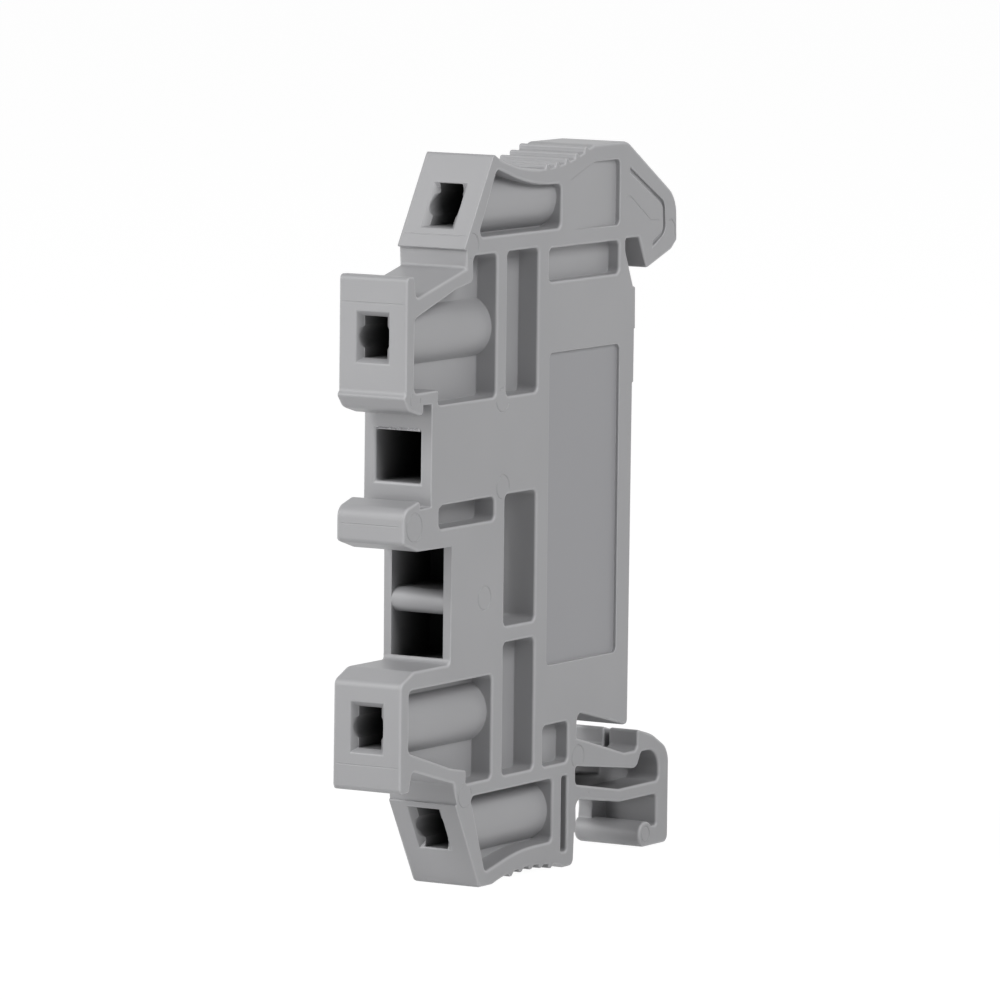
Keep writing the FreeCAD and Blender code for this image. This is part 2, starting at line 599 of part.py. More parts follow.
def cut_lower_slit(body, s):
    """The slit between the arms: narrow right through, wide with a lobe on one half."""
    slope = s.slit_top_tip_drop
    through = new_sketch(body, "narrow_slit_outline", "YZ_Plane")
    draw_outline(through, [
        (-s.slit_front_reach, -s.slit_top_root_drop, s.small_round),
        (-s.slit_front_reach, -s.slit_top_root_drop - s.slit_height, s.small_round),
        (s.slit_end_back, -slope - s.slit_height, s.small_round),
        (s.slit_end_back, -slope, s.small_round),
    ])
    narrow = add_pocket(body, "narrow_slit", through, s.thickness * 2, both_sides=True)

    half = s.thickness * 0.5
    wide = new_sketch(body, "wide_slit_outline", "YZ_Plane", offset=half)
    draw_outline(wide, [
        (-s.slit_front_reach, -s.slit_top_root_drop, s.corner_round),
        (-s.slit_top_tip_reach, -s.slit_top_tip_drop, s.corner_round),
        (s.lobe_start_back, -s.slit_top_tip_drop, s.nose_round),
        (s.lobe_front_back, -s.lobe_top_drop, s.corner_round),
        (s.lobe_back, -s.lobe_top_drop, s.lobe_round),
        (s.lobe_back, -s.slit_floor_drop, s.pocket_round),
        (-s.slit_floor_bend_reach, -s.slit_floor_drop, s.nose_round),
        (-s.slit_front_reach, -s.slit_floor_root_drop, s.corner_round),
    ])
    return narrow, add_pocket(body, "wide_slit", wide, half - s.slit_centre_offset)


def hollow_sketches(body, s):
    """The outlines of the deep hollows in one side, with a rib between each pair."""
    side = s.thickness * 0.5
    upper = new_sketch(body, "upper_hollows", "YZ_Plane", offset=side)
    draw_outline(upper, [
        (-s.top_hollow_front_reach, s.top_hollow_floor, s.pocket_round),
        (-s.top_hollow_rear_reach, s.top_hollow_floor, s.pocket_round),
        (-s.top_hollow_rear_reach, s.top_hollow_roof, s.pocket_round),
        (-s.top_hollow_bend_reach, s.top_hollow_roof, s.grip_wall_round),
        (-s.top_hollow_crown_reach, s.top_hollow_crown, s.pocket_round),
    ])
    draw_outline(upper, [
        (-s.upper_hollow_front_reach, s.upper_hollow_step, s.pocket_round),
        (-s.upper_hollow_step_reach, s.upper_hollow_step, s.small_round),
        (-s.upper_hollow_step_reach, s.upper_hollow_floor, s.small_round),
        (-s.column_rear_reach, s.upper_hollow_floor, s.pocket_round),
        (-s.column_rear_reach, s.column_top, s.pocket_round),
        (-s.column_front_reach, s.column_top, s.pocket_round),
        (-s.column_front_reach, s.column_shoulder, s.pocket_round),
        (-s.strut_under_reach, s.strut_under_height),
        (-s.upper_hollow_front_reach, s.strut_under_front, s.pocket_round),
    ])

    middle = new_sketch(body, "middle_hollows", "YZ_Plane", offset=side)
    for bottom, top in (
        (s.middle_upper_floor, s.middle_upper_top),
        (s.middle_lower_floor, s.middle_lower_top),
    ):
        draw_box(middle, -s.middle_hollow_front_reach, -s.middle_hollow_rear_reach,
                 bottom, top, s.pocket_round)

    slots = new_sketch(body, "slots", "YZ_Plane", offset=side)
    draw_box(slots, -s.slot_front_reach, -s.column_rear_reach,
             s.slot_floor, s.ledge_height, s.pocket_round)
    draw_box(slots, -s.strip_slot_front_reach, -s.strip_slot_rear_reach,
             s.strip_slot_floor, s.strip_slot_top, s.small_round)

    lower = new_sketch(body, "lower_hollows", "YZ_Plane", offset=side)
    draw_outline(lower, [
        (-s.lower_hollow_front_reach, s.lower_hollow_top, s.pocket_round),
        (-s.lower_hollow_rear_reach, s.lower_hollow_top, s.pocket_round),
        (-s.lower_hollow_rear_reach, s.lower_hollow_floor, s.pocket_round),
        (-s.lower_hollow_foot_reach, s.lower_hollow_floor, s.small_round),
        (-s.lower_hollow_foot_reach, s.lower_hollow_shoulder, s.small_round),
        (-s.lower_strut_over_reach, s.lower_strut_over_height),
        (-s.lower_hollow_front_reach, s.lower_strut_over_front, s.pocket_round),
    ])
    draw_outline(lower, [
        (-s.bottom_hollow_front_reach, s.bottom_hollow_top, s.pocket_round),
        (-s.bottom_hollow_rear_reach, s.bottom_hollow_top, s.pocket_round),
        (-s.bottom_hollow_rear_reach, s.bottom_hollow_floor, s.pocket_round),
        (-s.bottom_hollow_bend_reach, s.bottom_hollow_floor, s.grip_wall_round),
        (-s.bottom_hollow_crown_reach, s.bottom_hollow_crown, s.pocket_round),
    ])
    return [upper, middle, slots, lower]


def cut_hollows(body, s):
    """Lighten both sides, so that a web is left in the middle and ribs between."""
    depth = (s.thickness - s.web) * 0.5
    cuts = []
    for sketch in hollow_sketches(body, s):
        cuts.append(add_pocket(body, sketch.Name + "_cut", sketch, depth))

    side = s.thickness * 0.5
    shallow = new_sketch(body, "slot_under_hook", "YZ_Plane", offset=side)
    draw_box(shallow, -s.rear_slot_front_reach, -s.rear_slot_end_reach,
             s.rear_slot_floor, s.rear_slot_top, s.pocket_round)
    cuts.append(add_pocket(body, "slot_under_hook_cut", shallow, s.rear_slot_depth))

    pad = new_sketch(body, "arm_root_hollow", "YZ_Plane", offset=side)
    draw_box(pad, -s.pad_front_reach, -s.pad_rear_reach, s.pad_floor, s.pad_top,
             s.pocket_round)
    cuts.append(add_pocket(body, "arm_root_hollow_cut", pad, s.pad_depth))

    mirror = body.newObject("PartDesign::Mirrored", "other_side")
    mirror.Originals = cuts
    mirror.MirrorPlane = (origin_plane(body, "YZ_Plane"), [""])
    body.Tip = mirror

    opening = new_sketch(body, "middle_opening", "YZ_Plane")
    draw_box(opening, -s.middle_hollow_front_reach, -s.middle_hollow_rear_reach,
             s.middle_floor, s.middle_top, s.pocket_round)
    return mirror, add_pocket(body, "middle_opening_cut", opening, s.thickness * 2,
                              both_sides=True)


def build_sleeves(body, s):
    """The round sleeves that carry the sockets, cut off flush with the slanted blocks."""
    radius = s.tube_diameter * 0.5
    outer = new_sketch(body, "outer_sleeve_circles", "XZ_Plane",
                       offset=s.top_hollow_rear_reach - s.corner_round)
    draw_circle(outer, MIDDLE, s.socket_outer_height, radius)
    draw_circle(outer, MIDDLE, -s.socket_bottom_drop, radius)
    outer_reach = s.top_block_foot_reach - s.top_hollow_rear_reach
    outer_pad = add_pad(body, "outer_sleeves", outer, outer_reach)

    inner = new_sketch(body, "inner_sleeve_circles", "XZ_Plane",
                       offset=s.column_rear_reach - s.corner_round)
    draw_circle(inner, MIDDLE, s.socket_upper_height, radius)
    draw_circle(inner, MIDDLE, -s.socket_lower_drop, radius)
    inner_reach = s.lower_hollow_front_reach - s.column_rear_reach + s.corner_round
    inner_pad = add_pad(body, "inner_sleeves", inner, inner_reach)

    trim = new_sketch(body, "slant_trim", "YZ_Plane")
    ahead = s.block_front_reach
    draw_outline(trim, [
        (-s.top_block_reach, s.top_height),
        (-s.top_block_foot_reach, s.top_block_foot),
        (-ahead, s.top_block_foot),
        (-ahead, s.top_height),
    ])
    draw_outline(trim, [
        (-s.bottom_block_foot_reach, -s.bottom_drop),
        (-s.bottom_block_reach, -s.bottom_block_drop),
        (-ahead, -s.bottom_block_drop),
        (-ahead, -s.bottom_drop),
    ])
    trimmed = add_pocket(body, "slant_trim_cut", trim, s.thickness * 2, both_sides=True)
    return outer_pad, inner_pad, trimmed


def cut_sockets(body, s):
    """The marker sockets: an upright slot united with a round bore, from the front."""
    half = s.socket_width * 0.5
    rise = s.socket_tall * 0.5
    cuts = []
    for name, front, heights in (
        ("outer", s.top_block_foot_reach, (s.socket_outer_height, -s.socket_bottom_drop)),
        ("inner", s.lower_block_reach, (s.socket_upper_height, -s.socket_lower_drop)),
    ):
        slots = new_sketch(body, f"{name}_socket_slots", "XZ_Plane", offset=front)
        bores = new_sketch(body, f"{name}_socket_bores", "XZ_Plane", offset=front)
        for height in heights:
            draw_box(slots, -half, half, height - rise, height + rise)
            draw_circle(bores, MIDDLE, height, s.socket_bore * 0.5)
        cuts.append(add_pocket(body, f"{name}_slots", slots, s.socket_depth))
        cuts.append(add_pocket(body, f"{name}_bores", bores, s.socket_depth))
    return cuts


def cut_socket_mouths(body, s):
    """The bevels that lead into the sockets, square to the face that each one is in."""
    half = s.socket_mouth_width * 0.5
    rise = s.socket_mouth_tall * 0.5
    top_run = s.top_block_foot_reach - s.top_block_reach
    top_slope = top_run / (s.top_height - s.top_block_foot)
    bottom_run = s.bottom_block_reach - s.bottom_block_foot_reach
    bottom_slope = bottom_run / (s.bottom_drop - s.bottom_block_drop)
    top_reach = s.top_block_reach + (s.top_height - s.socket_outer_height) * top_slope
    bottom_reach = (s.bottom_block_foot_reach
                    + (s.bottom_drop - s.socket_bottom_drop) * bottom_slope)
    mouths = (
        ("top", top_reach, s.socket_outer_height, -top_slope.angle()),
        ("upper", s.block_front_reach, s.socket_upper_height, None),
        ("lower", s.lower_block_reach, -s.socket_lower_drop, None),
        ("bottom", bottom_reach, -s.socket_bottom_drop, bottom_slope.angle()),
    )
    cuts = []
    for name, reach, height, turn in mouths:
        sketch = new_sketch(body, f"{name}_mouth_outline", "XZ_Plane", offset=reach,
                            centre=(MIDDLE, height), turn_axis=Vector(1, 0, 0), turn=turn)
        draw_box(sketch, -half, half, -rise, rise)
        cut = add_pocket(body, f"{name}_mouth", sketch, s.socket_mouth_depth)
        cut.setExpression("TaperAngle", (-s.socket_mouth_angle).formula)
        cuts.append(cut)
    return cuts


def add_ridges(body, s):
    """The ridges across both grips, each set turned about the centre of its hollow."""
    sets = (
        ("top", -s.top_grip_reach, s.top_grip_floor + s.top_grip_radius,
         s.top_grip_radius, s.top_grip_reach - s.top_ridge_reach, -1, s.ridge_height),
        ("bottom", -s.bottom_grip_reach, -s.bottom_grip_floor_drop - s.bottom_grip_radius,
         s.bottom_grip_radius, s.bottom_grip_reach - s.bottom_ridge_reach, 1,
         s.bottom_ridge_height),
    )
    patterns = []
    for name, centre, level, radius, start, side, height in sets:
        sketch = new_sketch(body, f"{name}_ridge_outline", "YZ_Plane", centre=(centre, level))
        sag = start * start / (radius * 2)
        base = (radius - sag + s.ridge_root) * side
        crest = (radius - sag - height) * side
        draw_outline(sketch, [
            (start - s.ridge_rise, base),
            (start, crest),
            (start + s.ridge_crest, crest),
            (start + s.ridge_crest + s.ridge_fall, base),
        ])
        ridge = add_pad(body, f"{name}_ridge", sketch, s.thickness, both_sides=True)
        pattern = body.newObject("PartDesign::PolarPattern", f"{name}_ridges")
        pattern.Originals = [ridge]
        pattern.Axis = (sketch, ["N_Axis"])
        pattern.Reversed = side > 0
        turns = s.ridge_count - Size(1, "1")
        sweep = (s.ridge_pitch / radius * turns).in_degrees()
        pattern.setExpression("Angle", sweep.formula)
        pattern.setExpression("Occurrences", s.ridge_count.formula)
        body.Tip = pattern
        patterns.append(pattern)
    return patterns


def cut_side_recesses(body, s):
    """The near side's label recess, the sunk panel and the groove along the hook."""
    side = s.thickness * 0.5
    label = new_sketch(body, "label_outline", "YZ_Plane", offset=side)
    draw_box(label, -s.label_front_reach, -s.label_rear_reach,
             -s.label_half_height, s.label_half_height, s.pocket_round)
    cuts = [add_pocket(body, "label_recess", label, s.label_depth)]

    panel = new_sketch(body, "panel_outline", "YZ_Plane", offset=side,
                       centre=(-s.panel_front_reach, MIDDLE),
                       turn_axis=Vector(0, 1, 0), turn=s.panel_slope)
    width = s.panel_front_reach - s.panel_rear_reach
    draw_outline(panel, [
        (MIDDLE, s.panel_floor),
        (width, s.panel_floor, s.pocket_round),
        (width, s.panel_top, s.pocket_round),
        (s.panel_front_reach - s.panel_bend_reach, s.panel_top),
        (MIDDLE, s.panel_front_top),
    ])
    sunk = add_pocket(body, "sunk_panel", panel, side)
    sunk.Reversed = True
    cuts.append(sunk)

    groove = new_sketch(body, "hook_groove_outline", "YZ_Plane", offset=side)
    wide = s.hook_groove_width
    rise = s.hook_groove_rise
    inner_round = s.hook_groove_round - wide
    start_front = -s.hook_groove_start_reach
    upper_slope = ((s.hook_groove_start - s.hook_groove_bend)
                   / (s.hook_groove_bend_back - start_front))
    lower_slope = ((s.hook_groove_turn - s.hook_groove_end)
                   / (s.hook_groove_turn_back - s.hook_groove_end_back))
    inner_bend = s.hook_groove_bend + upper_slope * wide - rise
    inner_turn = s.hook_groove_turn - lower_slope * wide + rise
    draw_outline(groove, [
        (start_front, s.hook_groove_start),
        (s.hook_groove_bend_back, s.hook_groove_bend, s.hook_groove_round),
        (s.hook_groove_turn_back, s.hook_groove_turn, s.hook_groove_round),
        (s.hook_groove_end_back, s.hook_groove_end),
        (s.hook_groove_end_back, s.hook_groove_end + rise),
        (s.hook_groove_turn_back - wide, inner_turn, inner_round),
        (s.hook_groove_bend_back - wide, inner_bend, inner_round),
        (start_front, s.hook_groove_start - rise),
    ])
    cuts.append(add_pocket(body, "hook_groove", groove, s.hook_groove_depth))
    return cuts


def cut_marker_windows(body, s):
    """The single window and the double window, each with a deep cavity behind."""
    single_half = s.marker_window * 0.5
    single = new_sketch(body, "marker_window_outline", "XZ_Plane", offset=s.marker_face_reach)
    draw_box(single, -single_half, single_half, s.marker_window_bottom, s.marker_window_top)
    first = add_pocket(body, "marker_window_cut", single,
                       s.marker_face_reach - s.marker_cavity_rear_reach)

    double_half = s.double_window * 0.5
    double = new_sketch(body, "double_window_outline", "XZ_Plane", offset=s.recess_reach)
    draw_box(double, -double_half, double_half, s.double_window_bottom, s.double_window_top)
    second = add_pocket(body, "double_window_cut", double,
                        s.recess_reach - s.marker_cavity_rear_reach)

    across = new_sketch(body, "window_bar_outline", "YZ_Plane")
    rear = -s.marker_cavity_rear_reach + s.corner_round
    draw_outline(across, [
        (-s.recess_reach, s.double_window_bar_bottom, s.double_window_bar_round),
        (rear, s.double_window_bar_bottom),
        (rear, s.double_window_bar_top),
        (-s.recess_reach, s.double_window_bar_top, s.double_window_bar_round),
    ])
    bar = add_pad(body, "window_bar", across, s.double_window + s.small_round,
                  both_sides=True)
    return first, second, bar


def cut_grips(body, s):
    """The hollow finger grips at the top and the bottom."""
    sketch = new_sketch(body, "grip_circles", "YZ_Plane")
    draw_circle(sketch, -s.top_grip_reach, s.top_grip_floor + s.top_grip_radius,
                s.top_grip_radius)
    draw_circle(sketch, -s.bottom_grip_reach,
                -s.bottom_grip_floor_drop - s.bottom_grip_radius, s.bottom_grip_radius)
    return add_pocket(body, "grips", sketch, s.thickness * 2, both_sides=True)


def main():
    """Build the document, check every object and write the part."""
    document = FreeCAD.newDocument("din_rail_end_stop")
    s = Sizes(document)
    document.recompute()
    body = document.addObject("PartDesign::Body", "end_stop_body")
    body.Label = "end_stop_body"

    for stage in (
        build_spine, build_hook, build_upper_block, build_lower_block, build_foot,
        cut_grips, add_ridges, cut_side_recesses, cut_lower_slit, cut_marker_windows,
        cut_hollows, build_sleeves, cut_sockets, cut_socket_mouths,
    ):
        stage(body, s)
        document.recompute()
        print(stage.__name__, round(body.Shape.Volume, 2), "cubic millimetres")

    for item in document.Objects:
        if "Invalid" in item.State or "Error" in item.State:
            raise RuntimeError(f"{item.Name} failed: {item.State}")
    if body.Shape.isNull() or not body.Shape.isValid():
        raise RuntimeError("the moulding isn't a valid shape")
    os.makedirs("parts", exist_ok=True)
    body.Shape.exportStep(f"parts/{body.Label}.step")


main()
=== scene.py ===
"""Studio picture of a DIN rail end stop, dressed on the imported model."""
import logging
import math
from dataclasses import dataclass, field
from enum import Enum

import bmesh
import bpy
import numpy as np
from mathutils import Matrix, Vector
from mathutils.geometry import delaunay_2d_cdt


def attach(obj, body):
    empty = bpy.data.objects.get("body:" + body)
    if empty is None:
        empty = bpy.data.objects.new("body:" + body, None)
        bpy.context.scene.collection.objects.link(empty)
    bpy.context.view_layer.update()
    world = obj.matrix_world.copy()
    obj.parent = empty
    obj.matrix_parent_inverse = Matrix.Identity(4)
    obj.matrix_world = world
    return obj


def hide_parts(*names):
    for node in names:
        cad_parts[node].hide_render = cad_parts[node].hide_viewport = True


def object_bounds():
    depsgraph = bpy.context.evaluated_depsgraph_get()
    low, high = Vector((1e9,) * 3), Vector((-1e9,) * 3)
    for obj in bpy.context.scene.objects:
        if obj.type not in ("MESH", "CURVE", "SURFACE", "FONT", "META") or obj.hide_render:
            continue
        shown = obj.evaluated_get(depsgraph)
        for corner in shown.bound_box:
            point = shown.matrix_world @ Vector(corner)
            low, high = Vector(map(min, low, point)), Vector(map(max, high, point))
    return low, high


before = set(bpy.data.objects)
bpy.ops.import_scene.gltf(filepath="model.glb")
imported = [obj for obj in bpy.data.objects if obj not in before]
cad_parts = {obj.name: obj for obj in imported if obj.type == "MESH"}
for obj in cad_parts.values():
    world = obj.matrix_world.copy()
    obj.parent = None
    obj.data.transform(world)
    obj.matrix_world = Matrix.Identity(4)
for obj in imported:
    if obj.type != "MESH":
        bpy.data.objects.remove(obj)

Array = np.ndarray
Tree = bpy.types.NodeTree
Socket = bpy.types.NodeSocket
Place = tuple[float, float, float]
Colour = tuple[float, float, float, float]

LOG = logging.getLogger("end_stop")
MM = 0.001
MOULDING = "end_stop_body"
DEPTH = "behind_mouth_mm"
LABEL_FIELD = "label_field"
RIDGE = "outer_ridge"
SIDE_MM = 2.6
LABEL_FLOOR_MM = 2.35
CAD_BOX = [list(corner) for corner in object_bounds()]
# The Mix node's colour sockets, by number because other sockets have the same names.
MIX_FIRST, MIX_SECOND, MIX_RESULT = 6, 7, 2
# Keeps a division by a length of nought from failing.
TINY = 1e-15


def srgb_to_linear(code: str) -> Colour:
    """Turn an sRGB hex colour into a linear one.

    Args:
        code: Six hex digits, such as "9e9ea0".

    Returns:
        Linear red, green, blue and an alpha of one.
    """
    channels = np.array([int(code[i:i + 2], 16) for i in (0, 2, 4)]) / 255
    low = channels / 12.92
    high = ((channels + 0.055) / 1.055) ** 2.4
    red, green, blue = np.where(channels <= 0.04045, low, high).tolist()
    return red, green, blue, 1.0


def add_node(tree: Tree, kind: str, settings: dict | None = None,
             inputs: dict | None = None) -> bpy.types.Node:
    """Add a node with its settings, and its input values or links.

    Args:
        tree: Node tree that the node joins.
        kind: Blender's type name of the node.
        settings: Attributes of the node.
        inputs: Input name or number, with a value or the output socket to link.

    Returns:
        The new node.
    """
    node = tree.nodes.new(kind)
    for name, value in (settings or {}).items():
        setattr(node, name, value)
    for name, value in (inputs or {}).items():
        if isinstance(value, Socket):
            tree.links.new(value, node.inputs[name])
        else:
            node.inputs[name].default_value = value
    return node


def calculated(tree: Tree, operation: str, *values: Socket | float) -> Socket:
    """Work out a value from others.

    Args:
        tree: Node tree to add to.
        operation: Blender's name of the operation.
        values: What it works on.

    Returns:
        The socket that gives the result.
    """
    node = add_node(tree, "ShaderNodeMath", {"operation": operation}, dict(enumerate(values)))
    return node.outputs["Value"]


def mixed_colour(tree: Tree, share: Socket, first: Socket | Colour,
                 second: Socket | Colour) -> Socket:
    """Mix two colours.

    Args:
        tree: Node tree to add to.
        share: How much of the second colour shows.
        first: First colour.
        second: Second colour.

    Returns:
        The socket that gives the mixed colour.
    """
    node = add_node(tree, "ShaderNodeMix", {"data_type": "RGBA"}, {
        "Factor": share, MIX_FIRST: first, MIX_SECOND: second})
    return node.outputs[MIX_RESULT]


def seen_directly(tree: Tree) -> Socket:
    """Tell rays that show a surface, in a mirror or through glass too, from lighting ones.

    Args:
        tree: Node tree of the floor or of the world.

    Returns:
        A socket that is one for such a ray, and nought for any other.
    """
    path = add_node(tree, "ShaderNodeLightPath").outputs
    mirrored = calculated(tree, "MAXIMUM", path["Is Camera Ray"], path["Is Glossy Ray"])
    return calculated(tree, "MAXIMUM", mirrored, path["Is Transmission Ray"])


def new_material(name: str) -> tuple[bpy.types.Material, Tree]:
    """Make an empty node material.

    Args:
        name: Name of the material.

    Returns:
        The material and its node tree.
    """
    material = bpy.data.materials.new(name)
    material.use_nodes = True
    material.node_tree.nodes.clear()
    return material, material.node_tree


def add_object(name: str, data: bpy.types.ID) -> bpy.types.Object:
    """Put a mesh, a lamp or a camera into the scene.

    Args:
        name: Name of the object.
        data: What it shows.

    Returns:
        The object, at the origin.
    """
    item = bpy.data.objects.new(name, data)
    bpy.context.scene.collection.objects.link(item)
    return item


def unit(vectors: Array) -> Array:
    """Scale vectors to length one, and leave a zero vector as it is.

    Args:
        vectors: One vector a row.

    Returns:
        The scaled vectors.
    """
    length = np.linalg.norm(vectors, axis=1, keepdims=True)
    return vectors / np.maximum(length, TINY)


def dot(left: Array, right: Array) -> Array:
    """Multiply vectors row by row.

    Args:
        left: One vector a row.
        right: One vector a row.

    Returns:
        The product of each pair of rows.
    """
    return np.einsum("ij,ij->i", left, right)


def linked_labels(count: int, left: Array, right: Array) -> Array:
    """Number the groups of items that links join.

    Args:
        count: How many items there are.
        left: First item of each link.
        right: Second item of each link.

    Returns:
        The number of each item's group, counted from nought.
    """
    labels = np.arange(count)
    while True:
        before = labels.copy()
        lowest = np.minimum(labels[left], labels[right])
        np.minimum.at(labels, left, lowest)
        np.minimum.at(labels, right, lowest)
        labels = labels[labels]
        if np.array_equal(before, labels):
            return np.unique(labels, return_inverse=True)[1]


@dataclass(frozen=True)
class FacePlane:
    """Two directions in a flat face, and its normal."""

    across: Array
    up: Array
    normal: Array

    def flat(self, points: Array) -> Array:
        """Lay points down in the face.

        Args:
            points: Points in space, one a row.

        Returns:
            Their places in the face, in the same unit.
        """
        return np.stack([points @ self.across, points @ self.up], axis=1)

    def in_space(self, spots: Array) -> Array:
        """Turn places or directions in the face into ones in space.

        Args:
            spots: Places or directions in the face, one a row.

        Returns:
            The same ones in space, at height nought.
        """
        return spots[:, :1] * self.across + spots[:, 1:] * self.up


@dataclass(frozen=True)
class Border:
    """The border of a flat face, laid down in it: points in millimetres, and their pairs."""

    spots: Array
    pieces: Array

    def holds(self, places: Array) -> Array:
        """Count the border crossings to the right of each place: odd means inside.

        Args:
            places: Places in the face.

        Returns:
            Whether each place lies inside.
        """
        low, high = self.spots[self.pieces[:, 0]], self.spots[self.pieces[:, 1]]
        across, up = places[:, :1], places[:, 1:]
        spans = (low[:, 1] > up) != (high[:, 1] > up)
        rise = high[:, 1] - low[:, 1]
        share = (up - low[:, 1]) / np.where(np.abs(rise) < TINY, 1.0, rise)
        meet = low[:, 0] + share * (high[:, 0] - low[:, 0])
        return (spans & (meet > across)).sum(axis=1) % 2 == 1

    def clearance(self, places: Array) -> Array:
        """Measure how far each place is from the border.

        Args:
            places: Places in the face.

        Returns:
            The distances, in millimetres.
        """
        low = self.spots[self.pieces[:, 0]]
        run = self.spots[self.pieces[:, 1]] - low
        gap = places[:, None, :] - low
        share = (gap * run).sum(axis=2) / np.maximum((run ** 2).sum(axis=1), TINY)
        nearest = np.clip(share, 0, 1)[:, :, None] * run
        return np.linalg.norm(gap - nearest, axis=2).min(axis=1)


# The five points across a groove: their places as shares of its half width, their depths
# as shares of its depth, and which way the surface leans there.
GROOVE_SHARES = np.array([-1.0, -0.5, 0.0, 0.5, 1.0])
GROOVE_DEPTHS = np.array([0.0, 0.5, 1.0, 0.5, 0.0])
GROOVE_LEANS = np.array([0.0, 1.0, 0.0, -1.0, 0.0])


@dataclass(frozen=True)
class Groove:
    """A tool mark laid out on its face, with five points across it at each section."""

    spots_mm: Array
    outward: Array
    depth_mm: Array
    steepness: Array
    links: Array

    def cut(self, plane: FacePlane, level: float) -> tuple[Array, Array]:
        """Sink the points into the face, and lean the normals over on the flanks.

        Args:
            plane: Directions of the face.
            level: Height of the face along its normal, in metres.

        Returns:
            Their places in space and their normals.
        """
        sink = self.depth_mm[:, None] * GROOVE_DEPTHS
        points = plane.in_space(self.spots_mm.reshape(-1, 2) * MM)
        points = points + (level - sink.reshape(-1, 1) * MM) * plane.normal
        side = plane.in_space(self.outward)
        lean = self.steepness[:, None] * GROOVE_LEANS
        normals = plane.normal + lean[:, :, None] * side[:, None, :]
        return points, unit(normals.reshape(-1, 3))


class MarkForm(Enum):
    """The two forms of the fine marks that a tool leaves on a flat face."""

    RING = "edge of an ejector pin"
    LINE = "joint between two inserts of the tool"


@dataclass(frozen=True)
class ToolMark:
    """A shallow groove on a flat face, a round one or one along a line."""

    form: MarkForm
    facing: Place
    places_mm: tuple[Place, ...]
    radius_mm: float = 0.8
    half_width_mm: float = 0.09
    depth_mm: float = 0.07
    steps: int = 40
    flank_lean: float = 1.3
    clear_share: float = 1 / 3
    least_sections: int = 3

    def sections(self, plane: FacePlane) -> tuple[Array, Array, bool]:
        """Lay out the middle of the groove and the direction across it.

        Args:
            plane: Directions of the face.

        Returns:
            Places in the face in millimetres, outward directions, and whether it closes.
        """
        flat = plane.flat(np.array(self.places_mm))
        if self.form is MarkForm.RING:
            turn = np.linspace(0, 2 * np.pi, self.steps, endpoint=False)
            outward = np.stack([np.cos(turn), np.sin(turn)], axis=1)
            return flat[0] + self.radius_mm * outward, outward, True
        lengths = np.linalg.norm(np.diff(flat, axis=0), axis=1)
        counts = np.ceil(lengths / (2 * self.half_width_mm)).astype(int)
        middle = np.concatenate(
            [np.linspace(flat[i], flat[i + 1], count, endpoint=False)
             for i, count in enumerate(counts)] + [flat[-1:]])
        tangent = unit(np.gradient(middle, axis=0))
        return middle, np.stack([tangent[:, 1], -tangent[:, 0]], axis=1), False

    def groove(self, plane: FacePlane, border: Border) -> Groove | None:
        """Lay the whole groove out, as far as it stays clear of the border.

        Its depth is full where both neighbouring sections are there, and nought at an end.

        Args:
            plane: Directions of the face.
            border: Border of the face.

        Returns:
            The groove, or nothing where the face has no room for it.
        """
        middle, outward, closed = self.sections(plane)
        spread = np.stack([middle + share * self.half_width_mm * outward
                           for share in GROOVE_SHARES], axis=1)
        spots = spread.reshape(-1, 2)
        free = border.holds(spots)
        free &= border.clearance(spots) > self.clear_share * self.half_width_mm
        free = free.reshape(spread.shape[:2]).all(axis=1)
        if free.sum() < self.least_sections:
            return None
        inner = np.roll(free, 1) & np.roll(free, -1)
        if not closed:
            inner[[0, -1]] = False
        keep = np.flatnonzero(free)
        depth = np.where(inner, self.depth_mm, 0.0)[keep]
        number = np.arange(len(keep) * len(GROOVE_SHARES)).reshape(len(keep), -1)
        here = np.flatnonzero(np.diff(keep) == 1)
        links = np.stack([number[here].T, number[here + 1].T], axis=2)
        if closed and free[0] and free[-1]:
            links = np.concatenate([links, number[[-1, 0]].T[:, None, :]], axis=1)
        return Groove(spread[keep], outward[keep], depth,
                      self.flank_lean * depth / self.half_width_mm, links.reshape(-1, 2))


def side_mark(form: MarkForm, *places: tuple[float, float], **sizes: float) -> ToolMark:
    """Put a mark on the near side.

    Args:
        form: Its form.
        places: Its centre, or the corners of its line, along Y and Z in millimetres.
        sizes: Sizes that differ from the usual ones.

    Returns:
        The mark.
    """
    return ToolMark(form, (1.0, 0.0, 0.0), tuple((SIDE_MM, y, z) for y, z in places), **sizes)


def front_line(reach: float, height: float, lean: float = 0.0) -> ToolMark:
    """Draw a joint line right across a front face.

    Args:
        reach: How far in front of the seat plane the face is, at the line.
        height: Height of the line.
        lean: Share of the face's normal that points up.

    Returns:
        The mark.
    """
    facing = (0.0, -math.sqrt(1 - lean * lean), lean)
    ends = tuple((x, -reach, height) for x in (-SIDE_MM, SIDE_MM))
    return ToolMark(MarkForm.LINE, facing, ends, half_width_mm=0.06, depth_mm=0.04)


